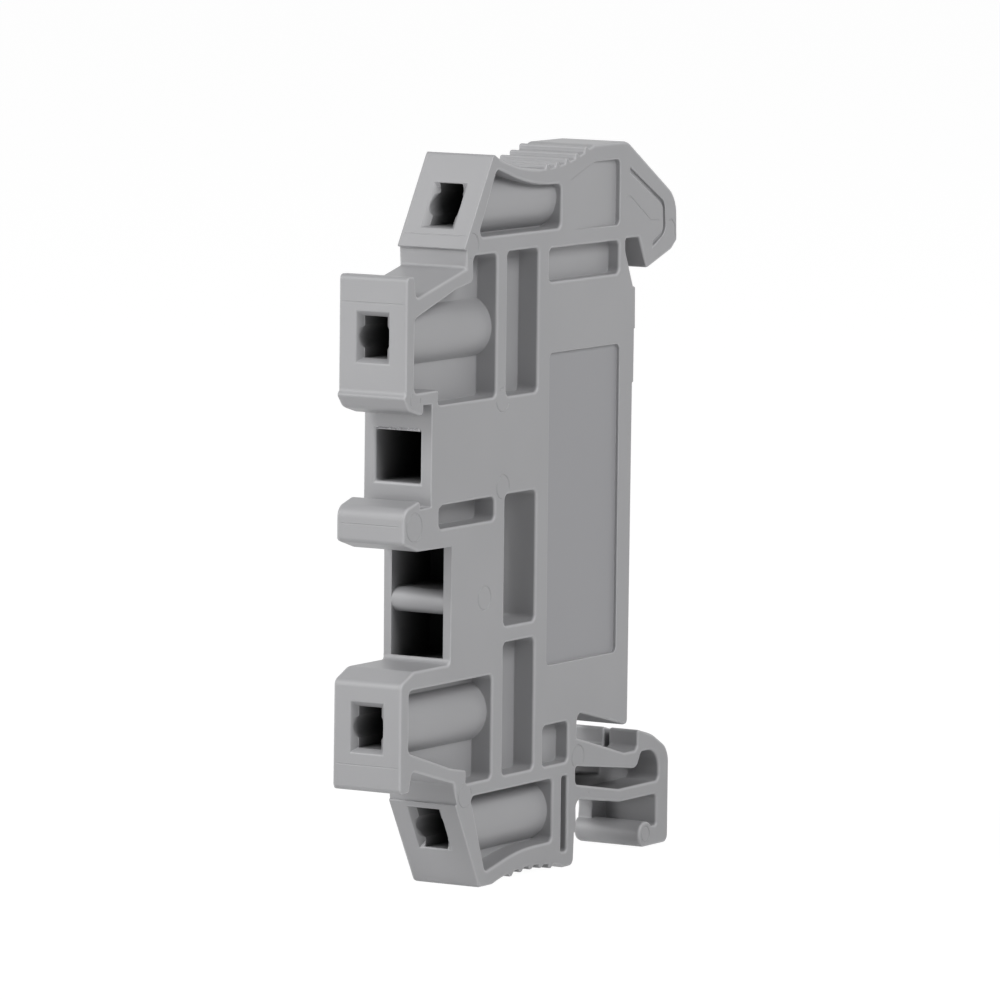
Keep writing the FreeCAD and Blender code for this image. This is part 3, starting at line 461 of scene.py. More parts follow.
# The ejector rings on the near side: centre along Y and Z, and radius, in millimetres.
RINGS = (
    (-21.24, 18.24, 0.8), (-21.45, -18.03, 0.8), (-17.16, 7.81, 0.8), (-17.04, 2.03, 0.8),
    (-19.24, -5.13, 0.8), (-6.90, -17.09, 0.8), (-28.1, 8.6, 0.62), (-28.1, 0.3, 0.95),
    (2.28, -23.45, 0.52))
MARKS = tuple(side_mark(MarkForm.RING, (y, z), radius_mm=radius) for y, z, radius in RINGS) + (
    side_mark(MarkForm.LINE, (-1.31, 20.35), (-0.77, 20.32), (1.95, 18.57), (3.2, 18.5)),
    side_mark(MarkForm.LINE, (4.35, 18.45), (4.79, 18.44), (5.21, 18.04), (5.23, 17.08)),
    side_mark(MarkForm.LINE, (-5.4, -19.2), (-5.4, -20.1)),
    front_line(29.27, 14.9),
    front_line(29.4, 0.43),
    front_line(29.55, -15.33),
    front_line(21.716, 18.9, 0.5101),
)


@dataclass(frozen=True)
class FlatFill:
    """New triangles for one flat face, between its moved borders and its grooves.

    They number the border's copies first, and then the points of the grooves.
    """

    inside: Array
    copies: Array
    points: Array
    normals: Array
    triangles: Array


@dataclass
class GrowingSurface:
    """A surface that is put together from batches of points and triangles.

    A point has a ridge value, from 0 on a face to 1 on the middle of a square outer edge.
    """

    points: list[Array] = field(default_factory=list)
    normals: list[Array] = field(default_factory=list)
    ridges: list[Array] = field(default_factory=list)
    triangles: list[Array] = field(default_factory=list)

    def add_points(self, points: Array, normals: Array, ridges: Array | None = None) -> Array:
        """Add points.

        Args:
            points: Their places.
            normals: Their normals.
            ridges: Their ridge values, or nothing where they lie on a face.

        Returns:
            Their numbers.
        """
        start = sum(map(len, self.points))
        self.points.append(points)
        self.normals.append(normals)
        self.ridges.append(np.zeros(len(points)) if ridges is None else ridges)
        return start + np.arange(len(points))

    def add_quads(self, *corners: Array) -> None:
        """Add four-sided faces, each as two triangles that meet from its first corner.

        Args:
            corners: The first corners of all of them, then the second ones and so on.
        """
        first, second, third, fourth = corners
        self.triangles.append(np.stack([first, second, third], axis=1))
        self.triangles.append(np.stack([first, third, fourth], axis=1))

    def finished(self) -> tuple[Array, Array, Array, Array]:
        """Join the batches, without triangles that use a point twice.

        Returns:
            Points, triangles, and the normal and the ridge value at each point.
        """
        triangles = np.concatenate(self.triangles)
        proper = (triangles != np.roll(triangles, 1, axis=1)).all(axis=1)
        used, renumbered = np.unique(triangles[proper], return_inverse=True)
        return (np.concatenate(self.points)[used], renumbered.reshape(-1, 3),
                np.concatenate(self.normals)[used], np.concatenate(self.ridges)[used])


@dataclass
class EasedSurface:
    """A closed triangle surface whose sharp edges are rolled over.

    Each smooth patch round a vertex gets its own copy of that vertex. With m1 and m2 the
    inward directions of the two sharp edges that bound the patch there, the copy moves
    by size * (m1 + m2) / (1 + m1.m2). A strip joins the copies on the two sides of a
    sharp edge. Its middle line lies at (A + 2 C + B) / 4, between the copies A and B and
    the old corner C. Where more than two sharp edges meet, a small fan closes the corner.
    A low step keeps a crisp edge: its round is at most a share of its height.

    The half edge with number h runs along triangle h // 3, from starts[h] to ends[h].
    """

    points: Array
    triangles: Array
    round_mm: float = 0.22
    inner_share: float = 0.2
    step_share: float = 0.32
    sharp_deg: float = 28.0
    flat_cosine: float = 0.999999
    facing_cosine: float = 0.98
    upright_cosine: float = 0.9
    same_level_mm: float = 0.02
    join_mm: float = 1e-7
    least_spread: float = 0.3
    taper: float = 0.7
    taper_passes: int = 4
    least_run: float = 0.02
    least_lift: float = 1e-4
    shrink: float = 0.7
    most_tries: int = 40
    corner_fill: float = 0.85
    starts: Array = field(init=False)
    ends: Array = field(init=False)
    runs: Array = field(init=False)
    after: Array = field(init=False)
    first: Array = field(init=False)
    second: Array = field(init=False)
    sharp: Array = field(init=False)
    outward: Array = field(init=False)
    rim: Array = field(init=False)
    face_normals: Array = field(init=False)
    areas: Array = field(init=False)
    region: Array = field(init=False)
    sector: Array = field(init=False)
    sector_vertex: Array = field(init=False)
    sector_normal: Array = field(init=False)

    def __post_init__(self) -> None:
        """Pair the half edges, find the sharp ones and number the patches."""
        self.starts = self.triangles.reshape(-1)
        self.ends = np.roll(self.triangles, -1, axis=1).reshape(-1)
        self.runs = self.points[self.ends] - self.points[self.starts]
        halves = np.arange(len(self.starts)).reshape(-1, 3)
        self.after = np.roll(halves, -1, axis=1).reshape(-1)
        key = np.minimum(self.starts, self.ends) * len(self.points)
        key += np.maximum(self.starts, self.ends)
        pairs = np.argsort(key, kind="stable").reshape(-1, 2)
        if not np.array_equal(key[pairs[:, 0]], key[pairs[:, 1]]):
            raise RuntimeError("the surface isn't closed")
        self.first, self.second = pairs[:, 0], pairs[:, 1]

        crossed = self.crossed(self.points[self.triangles])
        self.face_normals = unit(crossed)
        self.areas = np.linalg.norm(crossed, axis=1) / 2
        left = self.face_normals[self.first // 3]
        cosine = dot(left, self.face_normals[self.second // 3])
        self.sharp = cosine < math.cos(math.radians(self.sharp_deg))
        tip = self.points[self.starts[self.after[self.after[self.second]]]]
        self.outward = dot(tip - self.points[self.starts[self.first]], left) < 0
        level = cosine > self.flat_cosine
        self.rim = ~self.sharp & ~level
        self.region = linked_labels(
            len(self.triangles), self.first[level] // 3, self.second[level] // 3)
        self.number_sectors()

    @staticmethod
    def crossed(corners: Array) -> Array:
        """Multiply two sides of each triangle.

        Args:
            corners: The three corners of each.

        Returns:
            Vectors along the normals, twice as long as the triangles' areas.
        """
        return np.cross(corners[:, 1] - corners[:, 0], corners[:, 2] - corners[:, 0])

    def number_sectors(self) -> None:
        """Number the smooth patches round each vertex and work out their normals."""
        one, two = self.first[~self.sharp], self.second[~self.sharp]
        left = np.concatenate([one, self.after[one]])
        right = np.concatenate([self.after[two], two])
        self.sector = linked_labels(len(self.starts), left, right)
        count = self.sector.max() + 1
        self.sector_vertex = np.zeros(count, dtype=np.int64)
        self.sector_vertex[self.sector] = self.starts
        total = np.zeros((count, 3))
        weighted = self.areas[:, None] * self.face_normals
        np.add.at(total, self.sector, np.repeat(weighted, 3, axis=0))
        self.sector_normal = unit(total)

    def moved(self, size: Array) -> Array:
        """Move each patch's copy of a vertex away from the sharp edges.

        Args:
            size: Size of the round at each vertex, in metres.

        Returns:
            The place of each copy.
        """
        halves = np.concatenate([self.first[self.sharp], self.second[self.sharp]])
        inward = unit(np.cross(self.face_normals[halves // 3], self.runs[halves]))
        leaving = np.zeros((len(self.sector_vertex), 3))
        arriving = np.zeros((len(self.sector_vertex), 3))
        leaving[self.sector[halves]] = inward
        arriving[self.sector[self.after[halves]]] = inward
        spread = np.maximum(1 + dot(leaving, arriving), self.least_spread)
        shift = (leaving + arriving) / spread[:, None] * size[self.sector_vertex][:, None]
        patches = np.bincount(self.sector_vertex, minlength=len(self.points))
        shift[patches[self.sector_vertex] < 2] = 0
        return self.points[self.sector_vertex] + shift

    def wanted_sizes(self) -> Array:
        """Choose the round for each vertex: outer edges, inner edges and low steps.

        Returns:
            The sizes, in metres.
        """
        outer = np.zeros(len(self.points), dtype=bool)
        halves = self.first[self.sharp & self.outward]
        outer[self.starts[halves]] = True
        outer[self.ends[halves]] = True
        size = np.where(outer, 1.0, self.inner_share) * self.round_mm * MM
        halves = self.first[self.rim]
        most = self.step_share * np.linalg.norm(self.runs[halves], axis=1)
        np.minimum.at(size, self.starts[halves], most)
        np.minimum.at(size, self.ends[halves], most)
        return size

    def turned_round(self, new: Array) -> Array:
        """Find sharp edges that point backwards once their ends have moved.

        Args:
            new: Places of the moved copies.

        Returns:
            Whether each vertex is at an end of one.
        """
        tight = np.zeros(len(self.points), dtype=bool)
        for halves in (self.first[self.sharp], self.second[self.sharp]):
            old_run = self.runs[halves]
            new_run = new[self.sector[self.after[halves]]] - new[self.sector[halves]]
            turned = halves[dot(old_run, new_run) < self.least_run * dot(old_run, old_run)]
            tight[self.starts[turned]] = True
            tight[self.ends[turned]] = True
        return tight

    def settle(self) -> tuple[Array, dict[int, FlatFill]]:
        """Shrink the round wherever the surface leaves less room for it.

        A flat face whose triangles fold over is filled again where its border allows.

        Returns:
            The moved copies, and the flat faces that were filled again.
        """
        size = self.wanted_sizes()
        halves = self.first[self.sharp]
        start, end = self.starts[halves], self.ends[halves]
        room = self.taper * np.linalg.norm(self.runs[halves], axis=1)
        for attempt in range(self.most_tries):
            for _ in range(self.taper_passes):
                np.minimum.at(size, start, size[end] + room)
                np.minimum.at(size, end, size[start] + room)
            new = self.moved(size)
            tight = self.turned_round(new)
            crossed = self.crossed(new[self.sector.reshape(-1, 3)])
            least = self.least_lift * np.linalg.norm(crossed, axis=1)
            folded = dot(crossed, self.face_normals) <= least
            filled = {}
            for number in np.unique(self.region[folded]):
                inside = np.flatnonzero(self.region == number)
                fill = self.fill_flat(inside, new, ()) if len(inside) > 1 else None
                if fill is None:
                    tight[self.triangles[inside[folded[inside]]].reshape(-1)] = True
                else:
                    filled[int(number)] = fill
            if not tight.any():
                break
            size[tight] *= self.shrink
        LOG.info("edges eased after %d tries, %d flat faces filled again",
                 attempt + 1, len(filled))
        return new, filled

    def outline(self, inside: Array, places: Array) -> tuple[Array, FacePlane, Border]:
        """Lay the border of a flat face down in it.

        Args:
            inside: Triangles of the face.
            places: Place of each copy.

        Returns:
            The copies along the border, the directions of the face, and the border.
        """
        normal = self.face_normals[inside[np.argmax(self.areas[inside])]]
        upright = np.array([0.0, 0.0, 1.0])
        if abs(normal[2]) >= self.upright_cosine:
            upright = np.array([1.0, 0.0, 0.0])
        across = unit(np.cross(upright, normal)[None, :])[0]
        plane = FacePlane(across, np.cross(normal, across), normal)
        edge = self.region[self.first // 3] != self.region[self.second // 3]
        halves = np.concatenate([self.first[edge], self.second[edge]])
        halves = halves[self.region[halves // 3] == self.region[inside[0]]]
        both = np.concatenate([self.sector[halves], self.sector[self.after[halves]]])
        copies, index = np.unique(both, return_inverse=True)
        pieces = index.reshape(2, -1).T
        pieces = pieces[pieces[:, 0] != pieces[:, 1]]
        return copies, plane, Border(plane.flat(places[copies]) / MM, pieces)

    def fill_flat(self, inside: Array, new: Array, marks: tuple[ToolMark, ...]
                  ) -> FlatFill | None:
        """Fill a flat face again between its moved borders, with its tool marks.

        Args:
            inside: Triangles of the face.
            new: Places of the moved copies.
            marks: Marks to cut into the face.

        Returns:
            The new triangles, or nothing where the borders cross.
        """
        copies, plane, border = self.outline(inside, new)
        level = float((new[copies] @ plane.normal).mean())
        grooves, places, links, total = [], [border.spots], [border.pieces], len(copies)
        for mark in marks:
            groove = mark.groove(plane, border)
            if groove is not None:
                grooves.append(groove)
                places.append(groove.spots_mm.reshape(-1, 2))
                links.append(total + groove.links)
                total += len(places[-1])
        spots = np.concatenate(places)
        result = delaunay_2d_cdt([Vector(spot) for spot in spots],
                                 np.concatenate(links).tolist(), [], 0, self.join_mm)
        origin = result[3]
        if len(origin) != len(spots) or any(len(item) != 1 for item in origin):
            return None
        triangles = np.array([item[0] for item in origin])[np.array(result[2])]
        triangles = triangles[border.holds(spots[triangles].mean(axis=1))]
        corner = spots[triangles]
        one, two = corner[:, 1] - corner[:, 0], corner[:, 2] - corner[:, 0]
        clockwise = one[:, 0] * two[:, 1] - one[:, 1] * two[:, 0] < 0
        triangles[clockwise] = triangles[clockwise][:, ::-1]
        none = np.zeros((0, 3))
        cuts = [(none, none)] + [groove.cut(plane, level) for groove in grooves]
        points, normals = (np.concatenate(part) for part in zip(*cuts))
        return FlatFill(inside, copies, points, normals, triangles)

    def face_of(self, mark: ToolMark) -> int | None:
        """Find the flat face that a mark lies on.

        Args:
            mark: The mark.

        Returns:
            The number of the face, or nothing.
        """
        place = np.array(mark.places_mm).mean(axis=0) * MM
        facing = self.face_normals @ np.array(mark.facing) > self.facing_cosine
        height = dot(self.points[self.triangles[:, 0]] - place, self.face_normals)
        close = np.flatnonzero(facing & (np.abs(height) < self.same_level_mm * MM))
        areas = np.bincount(self.region[close], weights=self.areas[close])
        old = self.points[self.sector_vertex]
        for number in np.argsort(-areas)[:np.count_nonzero(areas)]:
            _, plane, border = self.outline(np.flatnonzero(self.region == number), old)
            if border.holds(plane.flat(place[None, :]) / MM)[0]:
                return int(number)
        return None

    def cut_marks(self, marks: tuple[ToolMark, ...], new: Array,
                  filled: dict[int, FlatFill]) -> None:
        """Fill the marked flat faces again, each with all of its marks.

        Args:
            marks: The marks.
            new: Places of the moved copies.
            filled: Flat faces that were filled again, to add to.
        """
        wanted: dict[int, list[ToolMark]] = {}
        for mark in marks:
            number = self.face_of(mark)
            if number is None:
                LOG.info("no face for %s", mark)
            else:
                wanted.setdefault(number, []).append(mark)
        for number, here in wanted.items():
            fill = self.fill_flat(np.flatnonzero(self.region == number), new, tuple(here))
            if fill is None:
                LOG.info("marks cross on face %d", number)
            else:
                filled[number] = fill

    def build(self, marks: tuple[ToolMark, ...]) -> tuple[Array, ...]:
        """Build the eased surface.

        Args:
            marks: Fine marks for its flat faces.

        Returns:
            Points, triangles, and the normal and the ridge value at each point.
        """
        new, filled = self.settle()
        self.cut_marks(marks, new, filled)
        surface = GrowingSurface()
        surface.add_points(new, self.sector_normal)
        kept = np.ones(len(self.triangles), dtype=bool)
        for fill in filled.values():
            kept[fill.inside] = False
            number = surface.add_points(fill.points, fill.normals)
            surface.triangles.append(np.concatenate([fill.copies, number])[fill.triangles])
        surface.triangles.append(self.sector.reshape(-1, 3)[kept])
        self.roll_edges(new, surface)
        return surface.finished()

    def roll_edges(self, new: Array, surface: GrowingSurface) -> None:
        """Add the strips along the sharp edges and the fans at their corners.

        Args:
            new: Places of the moved copies.
            surface: Surface to add to.
        """
        one, two = self.first[self.sharp], self.second[self.sharp]
        tail, head = self.starts[one], self.ends[one]
        meeting = np.bincount(np.concatenate([tail, head]), minlength=len(self.points))
        along = unit(self.runs[one])
        ends = ((tail, self.sector[one], self.sector[self.after[two]]),
                (head, self.sector[self.after[one]], self.sector[two]))
        shared = np.zeros(len(self.points), dtype=np.int64)
        middles = []
        # Half the sum of two unit normals is cos(45 degrees) long at a square edge.
        square = 1 - math.cos(math.pi / 4)
        for vertex, left, right in ends:
            corner = self.points[vertex]
            reach = dot((new[left] + new[right]) / 2 - corner, along)[:, None] * along
            control = corner + np.where((meeting[vertex] > 2)[:, None], reach, 0)
            both = self.sector_normal[left] + self.sector_normal[right]
            turn = (1 - np.linalg.norm(both, axis=1) / 2) / square
            number = surface.add_points((new[left] + 2 * control + new[right]) / 4, unit(both),
                                        np.clip(turn, 0, 1) * self.outward[self.sharp])
            shared[vertex] = number
            middles.append(number)
        mids = []
        for (vertex, left, _), number in zip(ends, middles):
            number = np.where(meeting[vertex] == 2, shared[vertex], number)
            mids.append(np.where(meeting[vertex] == 1, left, number))
        (_, left_tail, right_tail), (_, left_head, right_head) = ends
        surface.add_quads(left_head, left_tail, mids[0], mids[1])
        surface.add_quads(right_tail, right_head, mids[1], mids[0])
        self.fan_corners(meeting, surface, (
            (tail, right_tail, mids[0], left_tail), (head, left_head, mids[1], right_head)))

    def fan_corners(self, meeting: Array, surface: GrowingSurface,
                    ends: tuple[tuple[Array, ...], ...]) -> None:
        """Close each corner where more than two strips end with a small fan.

        Args:
            meeting: How many sharp edges meet at each vertex.
            surface: Surface to add to.
            ends: For the two ends of the strips: the vertex, and the strip's last three
                points in turn.
        """
        crowded = np.flatnonzero(meeting > 2)
        row = np.zeros(len(self.points), dtype=np.int64)
        row[crowded] = np.arange(len(crowded))
        points, normals = np.concatenate(surface.points), np.concatenate(surface.normals)
        ridges = np.concatenate(surface.ridges)
        total = np.zeros((len(crowded), 3))
        turned = np.zeros((len(crowded), 3))
        ridge = np.zeros(len(crowded))
        for vertex, _, mid, _ in ends:
            here = meeting[vertex] > 2
            np.add.at(total, row[vertex[here]], points[mid[here]])
            np.add.at(turned, row[vertex[here]], normals[mid[here]])
            np.maximum.at(ridge, row[vertex[here]], ridges[mid[here]])
        mean = total / meeting[crowded][:, None]
        corner = self.points[crowded]
        hub = surface.add_points(corner + self.corner_fill * (mean - corner), unit(turned), ridge)
        for vertex, right, mid, left in ends:
            here = meeting[vertex] > 2
            surface.add_quads(hub[row[vertex[here]]], right[here], mid[here], left[here])


@dataclass(frozen=True)
class Mouth:
    """An opening with the space behind it that light hardly reaches, drawn as painted shade.

    The depth grows by its pace for each millimetre towards the back, or towards the
    front where the pace is negative. A leaning front moves back with its height.
    """

    half_width_mm: float
    low_mm: float
    high_mm: float
    front_mm: float
    length_mm: float
    lean: float = 0.0
    pace: float = 1.0

    def depth(self, places_mm: Array) -> Array:
        """Measure how far places lie behind the mouth.

        Args:
            places_mm: Places, one a row.

        Returns:
            The depth in millimetres, nought for places outside.
        """
        x, y, z = places_mm.T
        behind = self.pace * (y - self.front_mm - self.lean * z)
        inside = (np.abs(x) < self.half_width_mm) & (z > self.low_mm) & (z < self.high_mm)
        return np.where(inside & (behind > 0) & (behind < self.length_mm), behind, 0.0)


# The single window, the double window, the four sockets and the slit between the arms, with
# painted shade behind them.
MOUTHS = (
    Mouth(1.74, 2.93, 6.42, -26.05, 7.6),
    Mouth(2.04, -9.15, -1.31, -23.45, 5.0),
    Mouth(1.2, 11.2, 14.1, -29.27, 10.1),
    Mouth(1.2, -14.3, -11.4, -29.55, 10.1),
    Mouth(1.2, 19.3, 22.2, -32.93, 10.1, 0.5931),
    Mouth(1.2, -21.85, -18.95, -32.68, 10.1, -0.5424),
    Mouth(2.5, -19.93, -17.72, 0.5, 4.8, pace=-0.6),
)


@dataclass(frozen=True)
class MouldedPolyamide:
    """Grey polyamide 6.6, injection moulded in a spark-eroded steel tool.

    The tool's fine matt grain breaks up the highlights, and slow sink marks over
    the ribs make them drift. The grey is a touch uneven where the melt flowed, and the
    polished label field is a shade darker. The outer edges carry a painted highlight,
    paler along their rounds. Deep behind the mouths no light comes back, so the colour
    and the gleam are painted dark there as painted shade.
    """

    name: str = "moulded_grey_polyamide"
    base: str = "a5a5a7"
    flow_dark: str = "9d9d9f"
    label_field: str = "98989b"
    # Painted highlight: the pale grey that the outer edge rounds are mixed towards.
    ridge_highlight: str = "e6e6e8"
    # Painted shade: the near black that the colour is mixed towards deep behind the mouths.
    unlit: str = "0c0c0c"
    ridge_highlight_share: float = 0.36
    light_reach_mm: float = 1.6
    roughness_low: float = 0.38
    roughness_high: float = 0.50
    gleam: float = 0.5
    ior: float = 1.53
    flow_mm: float = 9.0
    flow_detail: float = 3.0
    sink_mm: float = 6.0
    sink_detail: float = 1.0
    sink_depth_mm: float = 0.02
    grain_mm: float = 0.16
    grain_detail: float = 2.0
    grain_depth_mm: float = 0.004

    def build(self) -> bpy.types.Material:
        """Build the material on Object coordinates and three point attributes.

        Returns:
            The node material.
        """
        material, tree = new_material(self.name)
        place = add_node(tree, "ShaderNodeTexCoord").outputs["Object"]
        flow, sink, grain = (
            add_node(tree, "ShaderNodeTexNoise", inputs={
                "Vector": place, "Scale": 1 / (size * MM), "Detail": detail}).outputs["Fac"]
            for size, detail in ((self.flow_mm, self.flow_detail),
                                 (self.sink_mm, self.sink_detail),
                                 (self.grain_mm, self.grain_detail)))
        label, ridge, depth = (
            add_node(tree, "ShaderNodeAttribute", {"attribute_name": name}).outputs["Fac"]
            for name in (LABEL_FIELD, RIDGE, DEPTH))
        uneven = mixed_colour(tree, flow, srgb_to_linear(self.base),
                              srgb_to_linear(self.flow_dark))
        labelled = mixed_colour(tree, label, uneven, srgb_to_linear(self.label_field))
        # Painted highlight: the outer edge rounds are mixed towards a pale grey by their ridge
        # value.
        highlighted = mixed_colour(tree, calculated(tree, "MULTIPLY", ridge, self.ridge_highlight_share),
                             labelled, srgb_to_linear(self.ridge_highlight))
        # Painted shade: light that reaches a mouth's depth falls off as exp(-depth / reach),
        # painted into the colour and the gleam.
        fall = calculated(tree, "DIVIDE", depth, -self.light_reach_mm)
        lit = calculated(tree, "EXPONENT", fall)
        shaded = mixed_colour(tree, lit, srgb_to_linear(self.unlit), highlighted)
        gleam = calculated(tree, "MULTIPLY", lit, self.gleam)
        roughness = add_node(tree, "ShaderNodeMapRange", inputs={
            "Value": flow, "To Min": self.roughness_low, "To Max": self.roughness_high})
        sunk = add_node(tree, "ShaderNodeBump", inputs={
            "Height": sink, "Distance": self.sink_depth_mm * MM})
        # Grain of the tool: 0.05 mm on the real part, drawn at 0.16 mm so that it shows.
        grained = add_node(tree, "ShaderNodeBump", inputs={
            "Height": grain, "Distance": self.grain_depth_mm * MM,
            "Normal": sunk.outputs["Normal"]})
        shader = add_node(tree, "ShaderNodeBsdfPrincipled", inputs={
            "Base Color": shaded,
            "Roughness": roughness.outputs["Result"],
            "IOR": self.ior,
            "Specular IOR Level": gleam,
            "Normal": grained.outputs["Normal"]})
        add_node(tree, "ShaderNodeOutputMaterial", inputs={"Surface": shader.outputs["BSDF"]})
        return material


@dataclass
class Moulding:
    """The whole end stop: one moulded piece, with its edges eased as a tool leaves them."""

    finish: MouldedPolyamide = field(default_factory=MouldedPolyamide)
    weld_mm: float = 0.0005
    mouths: tuple[Mouth, ...] = MOUTHS
    marks: tuple[ToolMark, ...] = MARKS
    label_slack_mm: float = 0.02
    label_facing: float = 0.9

    def welded(self) -> tuple[Array, Array]:
        """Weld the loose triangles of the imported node.

        Returns:
            Points and triangles.
        """
        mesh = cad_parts[MOULDING].data.copy()
        surface = bmesh.new()
        surface.from_mesh(mesh)
        bmesh.ops.remove_doubles(surface, verts=surface.verts, dist=self.weld_mm * MM)
        surface.to_mesh(mesh)
        surface.free()
        points = np.empty(len(mesh.vertices) * 3)
        mesh.vertices.foreach_get("co", points)
        triangles = np.empty(len(mesh.polygons) * 3, dtype=np.int32)
        mesh.polygons.foreach_get("vertices", triangles)
        bpy.data.meshes.remove(mesh)
        return points.reshape(-1, 3), triangles.reshape(-1, 3).astype(np.int64)

    def build(self) -> bpy.types.Object:
        """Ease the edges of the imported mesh, cut its fine marks and dress it.

        Returns:
            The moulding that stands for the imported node.
        """
        points, faces, normals, ridges = EasedSurface(*self.welded()).build(self.marks)
        mesh = bpy.data.meshes.new("moulded_end_stop")
        mesh.from_pydata(points.tolist(), [], faces.tolist())
        places = points / MM
        on_label = np.abs(places[:, 0] - LABEL_FLOOR_MM) < self.label_slack_mm
        on_label &= normals[:, 0] > self.label_facing
        for name, values in (
                (DEPTH, np.max([mouth.depth(places) for mouth in self.mouths], axis=0)),
                (LABEL_FIELD, on_label.astype(float)),
                (RIDGE, ridges)):
            mesh.attributes.new(name, "FLOAT", "POINT").data.foreach_set("value", values)
        mesh.materials.append(self.finish.build())
        mesh.shade_smooth()
        mesh.normals_split_custom_set_from_vertices(normals.tolist())
        piece = add_object("moulded_end_stop", mesh)
        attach(piece, "root")
        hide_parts(MOULDING)
        return piece


@dataclass(frozen=True)
class WhitenedPolyamide:
    """Polyamide that tore when the tool opened, and turned pale where it stretched."""

    name: str = "stress_whitened_polyamide"
    base: str = "d4d4d6"
    roughness: float = 0.6

    def build(self) -> bpy.types.Material:
        """Build the material.

        Returns:
            The node material.
        """
        material, tree = new_material(self.name)
        shader = add_node(tree, "ShaderNodeBsdfPrincipled", inputs={
            "Base Color": srgb_to_linear(self.base), "Roughness": self.roughness})
        add_node(tree, "ShaderNodeOutputMaterial", inputs={"Surface": shader.outputs["BSDF"]})
        return material


@dataclass
class WindowFlash:
    """The torn rim of flash along the top edge of the single marker window.

    Its height is a mean height plus three sine waves along X, whose lengths share no
    common measure, so that it looks torn. A wave is given by its radians in a millimetre
    and its start in radians. Each cross-section of the rim is a triangle.
    """

    finish: WhitenedPolyamide = field(default_factory=WhitenedPolyamide)
    half_width_mm: float = 1.66
    front_mm: float = -26.05
    edge_mm: float = 6.38
    below_mm: float = 0.02
    height_mm: float = 0.13
    uneven_mm: float = 0.09
    reach_mm: float = 0.10
    uneven_reach: float = 0.5
    sunk_mm: float = 0.08
    waves: tuple[tuple[float, float], ...] = ((9.1, 0.7), (17.3, 0.0), (31.7, 1.9))
    samples: int = 90

    def build(self) -> bpy.types.Object:
        """Build the rim as one closed surface.

        Returns:
            The rim.
        """
        x = np.linspace(-self.half_width_mm, self.half_width_mm, self.samples)
        torn = sum(np.sin(pace * x + start) for pace, start in self.waves) / len(self.waves)
        top = self.edge_mm + self.height_mm + self.uneven_mm * torn
        tip = self.front_mm - self.reach_mm * (1 + self.uneven_reach * torn)
        low = np.full_like(x, self.edge_mm - self.below_mm)
        back = np.full_like(x, self.front_mm + self.sunk_mm)
        rows = np.array([(x, back, top), (x, tip, (top + low) / 2), (x, back, low)])
        points = rows.transpose(2, 0, 1).reshape(-1, 3) * MM
        number = np.arange(len(points)).reshape(-1, 3)
        here, ahead = number[:-1], number[1:]
        quads = np.stack([here, np.roll(here, -1, axis=1), np.roll(ahead, -1, axis=1), ahead],
                         axis=2).reshape(-1, 4)
        caps = [number[0, ::-1].tolist(), number[-1].tolist()]
        mesh = bpy.data.meshes.new("window_flash")
        mesh.from_pydata(points.tolist(), [], quads.tolist() + caps)
        mesh.materials.append(self.finish.build())
        piece = add_object("window_flash", mesh)
        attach(piece, "root")
        return piece


@dataclass(frozen=True)
class Lamp:
    """One square soft lamp that faces the part."""

    name: str
    place_mm: Place
    size_mm: float
    power_w: float

    def build(self) -> None:
        """Hang the lamp."""
        data = bpy.data.lights.new(self.name, "AREA")
        data.size = self.size_mm * MM
        data.energy = self.power_w
        lamp = add_object(self.name, data)
        lamp.location = Vector(self.place_mm) * MM
        lamp.rotation_euler = (-lamp.location).to_track_quat("-Z", "Y").to_euler()


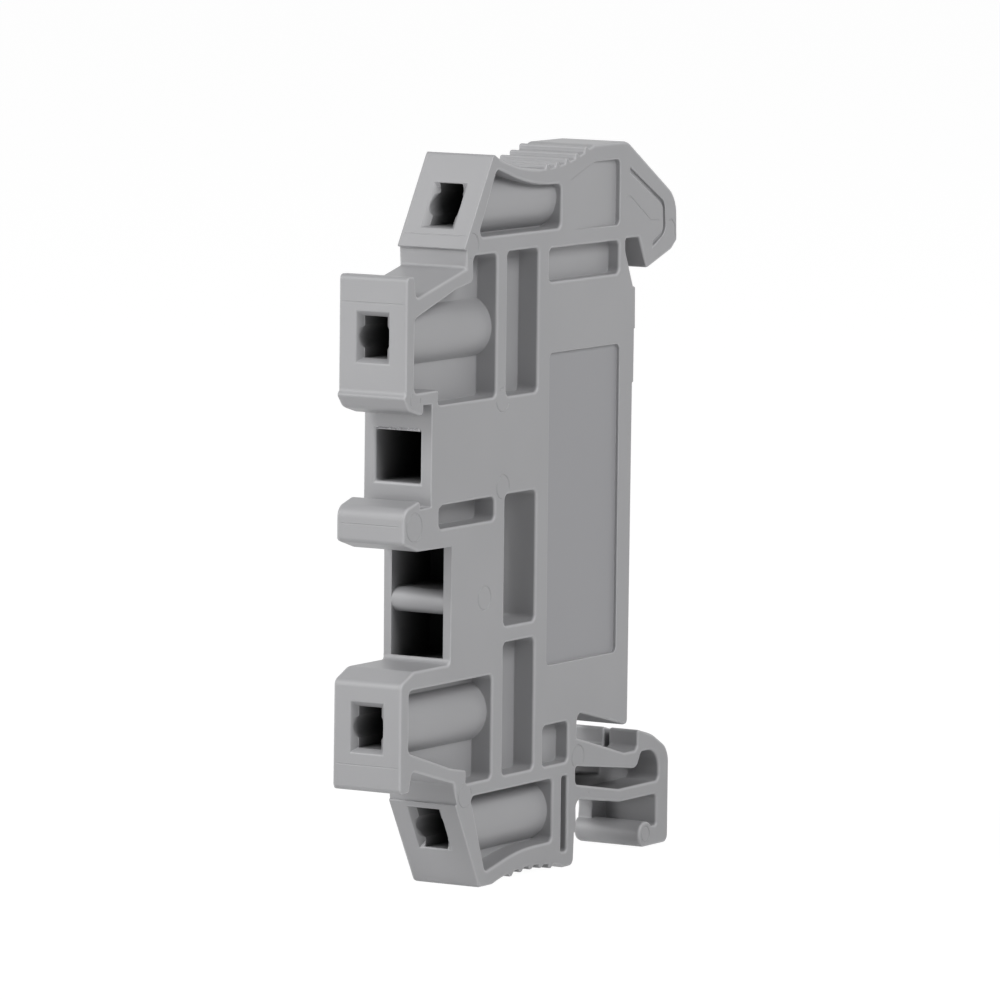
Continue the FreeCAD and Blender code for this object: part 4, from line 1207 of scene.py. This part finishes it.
@dataclass
class Studio:
    """Plain pale floor and backdrop, soft lamps and the camera of the photograph."""

    azimuth_deg: float = 31.13
    elevation_deg: float = 6.19
    roll_deg: float = 0.63
    distance_mm: float = 583.6
    aside_mm: float = 6.779
    above_mm: float = 0.480
    lens_mm: float = 309.67
    sensor_mm: float = 36.0
    nearest_mm: float = 10.0
    farthest_mm: float = 20000.0
    floor_gap_mm: float = 0.02
    floor_size_mm: float = 3000.0
    paper: str = "f4f4f4"
    white: str = "ffffff"
    floor_glow: float = 1.1
    glow_share: float = 0.88
    even_light: float = 0.13
    lamps: tuple[Lamp, ...] = (
        Lamp("key", (-260.0, -520.0, 420.0), 260.0, 2.0),
        Lamp("side_sheet", (500.0, -60.0, 360.0), 300.0, 1.95),
        Lamp("side_low", (90.0, -80.0, -110.0), 50.0, 0.13),
        Lamp("front_left", (-110.0, -190.0, 30.0), 100.0, 0.10))

    def build_camera(self) -> None:
        """Turn the camera by its three angles, and move it back along its own axes."""
        data = bpy.data.cameras.new("camera")
        data.lens = self.lens_mm
        data.sensor_width = self.sensor_mm
        data.clip_start = self.nearest_mm * MM
        data.clip_end = self.farthest_mm * MM
        camera = add_object("camera", data)
        azimuth = Matrix.Rotation(math.radians(self.azimuth_deg), 4, "Z")
        tilt = Matrix.Rotation(math.radians(90 - self.elevation_deg), 4, "X")
        roll = Matrix.Rotation(math.radians(self.roll_deg), 4, "Z")
        away = Vector((-self.aside_mm, -self.above_mm, self.distance_mm)) * MM
        camera.matrix_world = azimuth @ tilt @ roll @ Matrix.Translation(away)
        bpy.context.scene.camera = camera

    def build_floor(self, lowest: float) -> None:
        """Lay the floor under the part.

        Args:
            lowest: Height of the part's lowest point, in metres.
        """
        material, tree = new_material("white_paper_sweep")
        paper = add_node(tree, "ShaderNodeBsdfDiffuse", inputs={
            "Color": srgb_to_linear(self.paper)})
        glow = add_node(tree, "ShaderNodeEmission", inputs={
            "Color": srgb_to_linear(self.white), "Strength": self.floor_glow})
        mixed = add_node(tree, "ShaderNodeMixShader", inputs={
            "Fac": calculated(tree, "MULTIPLY", seen_directly(tree), self.glow_share),
            1: paper.outputs["BSDF"], 2: glow.outputs["Emission"]})
        add_node(tree, "ShaderNodeOutputMaterial", inputs={"Surface": mixed.outputs["Shader"]})
        half = self.floor_size_mm * MM / 2
        height = lowest - self.floor_gap_mm * MM
        mesh = bpy.data.meshes.new("floor")
        mesh.from_pydata([(-half, -half, height), (half, -half, height),
                          (half, half, height), (-half, half, height)], [], [(0, 1, 2, 3)])
        mesh.materials.append(material)
        floor = add_object("floor", mesh)

    def build_world(self) -> None:
        """Light the part evenly, and show white behind it."""
        world = bpy.data.worlds.new("even_light")
        bpy.context.scene.world = world
        world.use_nodes = True
        tree = world.node_tree
        tree.nodes.clear()
        light, backdrop = (
            add_node(tree, "ShaderNodeBackground", inputs={
                "Color": srgb_to_linear(self.white), "Strength": strength})
            for strength in (self.even_light, 1.0))
        mixed = add_node(tree, "ShaderNodeMixShader", inputs={
            "Fac": seen_directly(tree),
            1: light.outputs["Background"], 2: backdrop.outputs["Background"]})
        add_node(tree, "ShaderNodeOutputWorld", inputs={"Surface": mixed.outputs["Shader"]})

    def build(self, lowest: float) -> None:
        """Set up the whole studio.

        Args:
            lowest: Height of the part's lowest point, in metres.
        """
        self.build_camera()
        self.build_floor(lowest)
        self.build_world()
        for lamp in self.lamps:
            lamp.build()
        bpy.context.scene.view_settings.view_transform = "Standard"


def main() -> None:
    """Build the part and its studio."""
    logging.basicConfig(level=logging.INFO, format="%(message)s")
    moulding = Moulding().build()
    LOG.info("%s: %d faces", moulding.name, len(moulding.data.polygons))
    WindowFlash().build()
    Studio().build(CAD_BOX[0][2])
    bpy.context.view_layer.update()


if __name__ == "__main__":
    main()
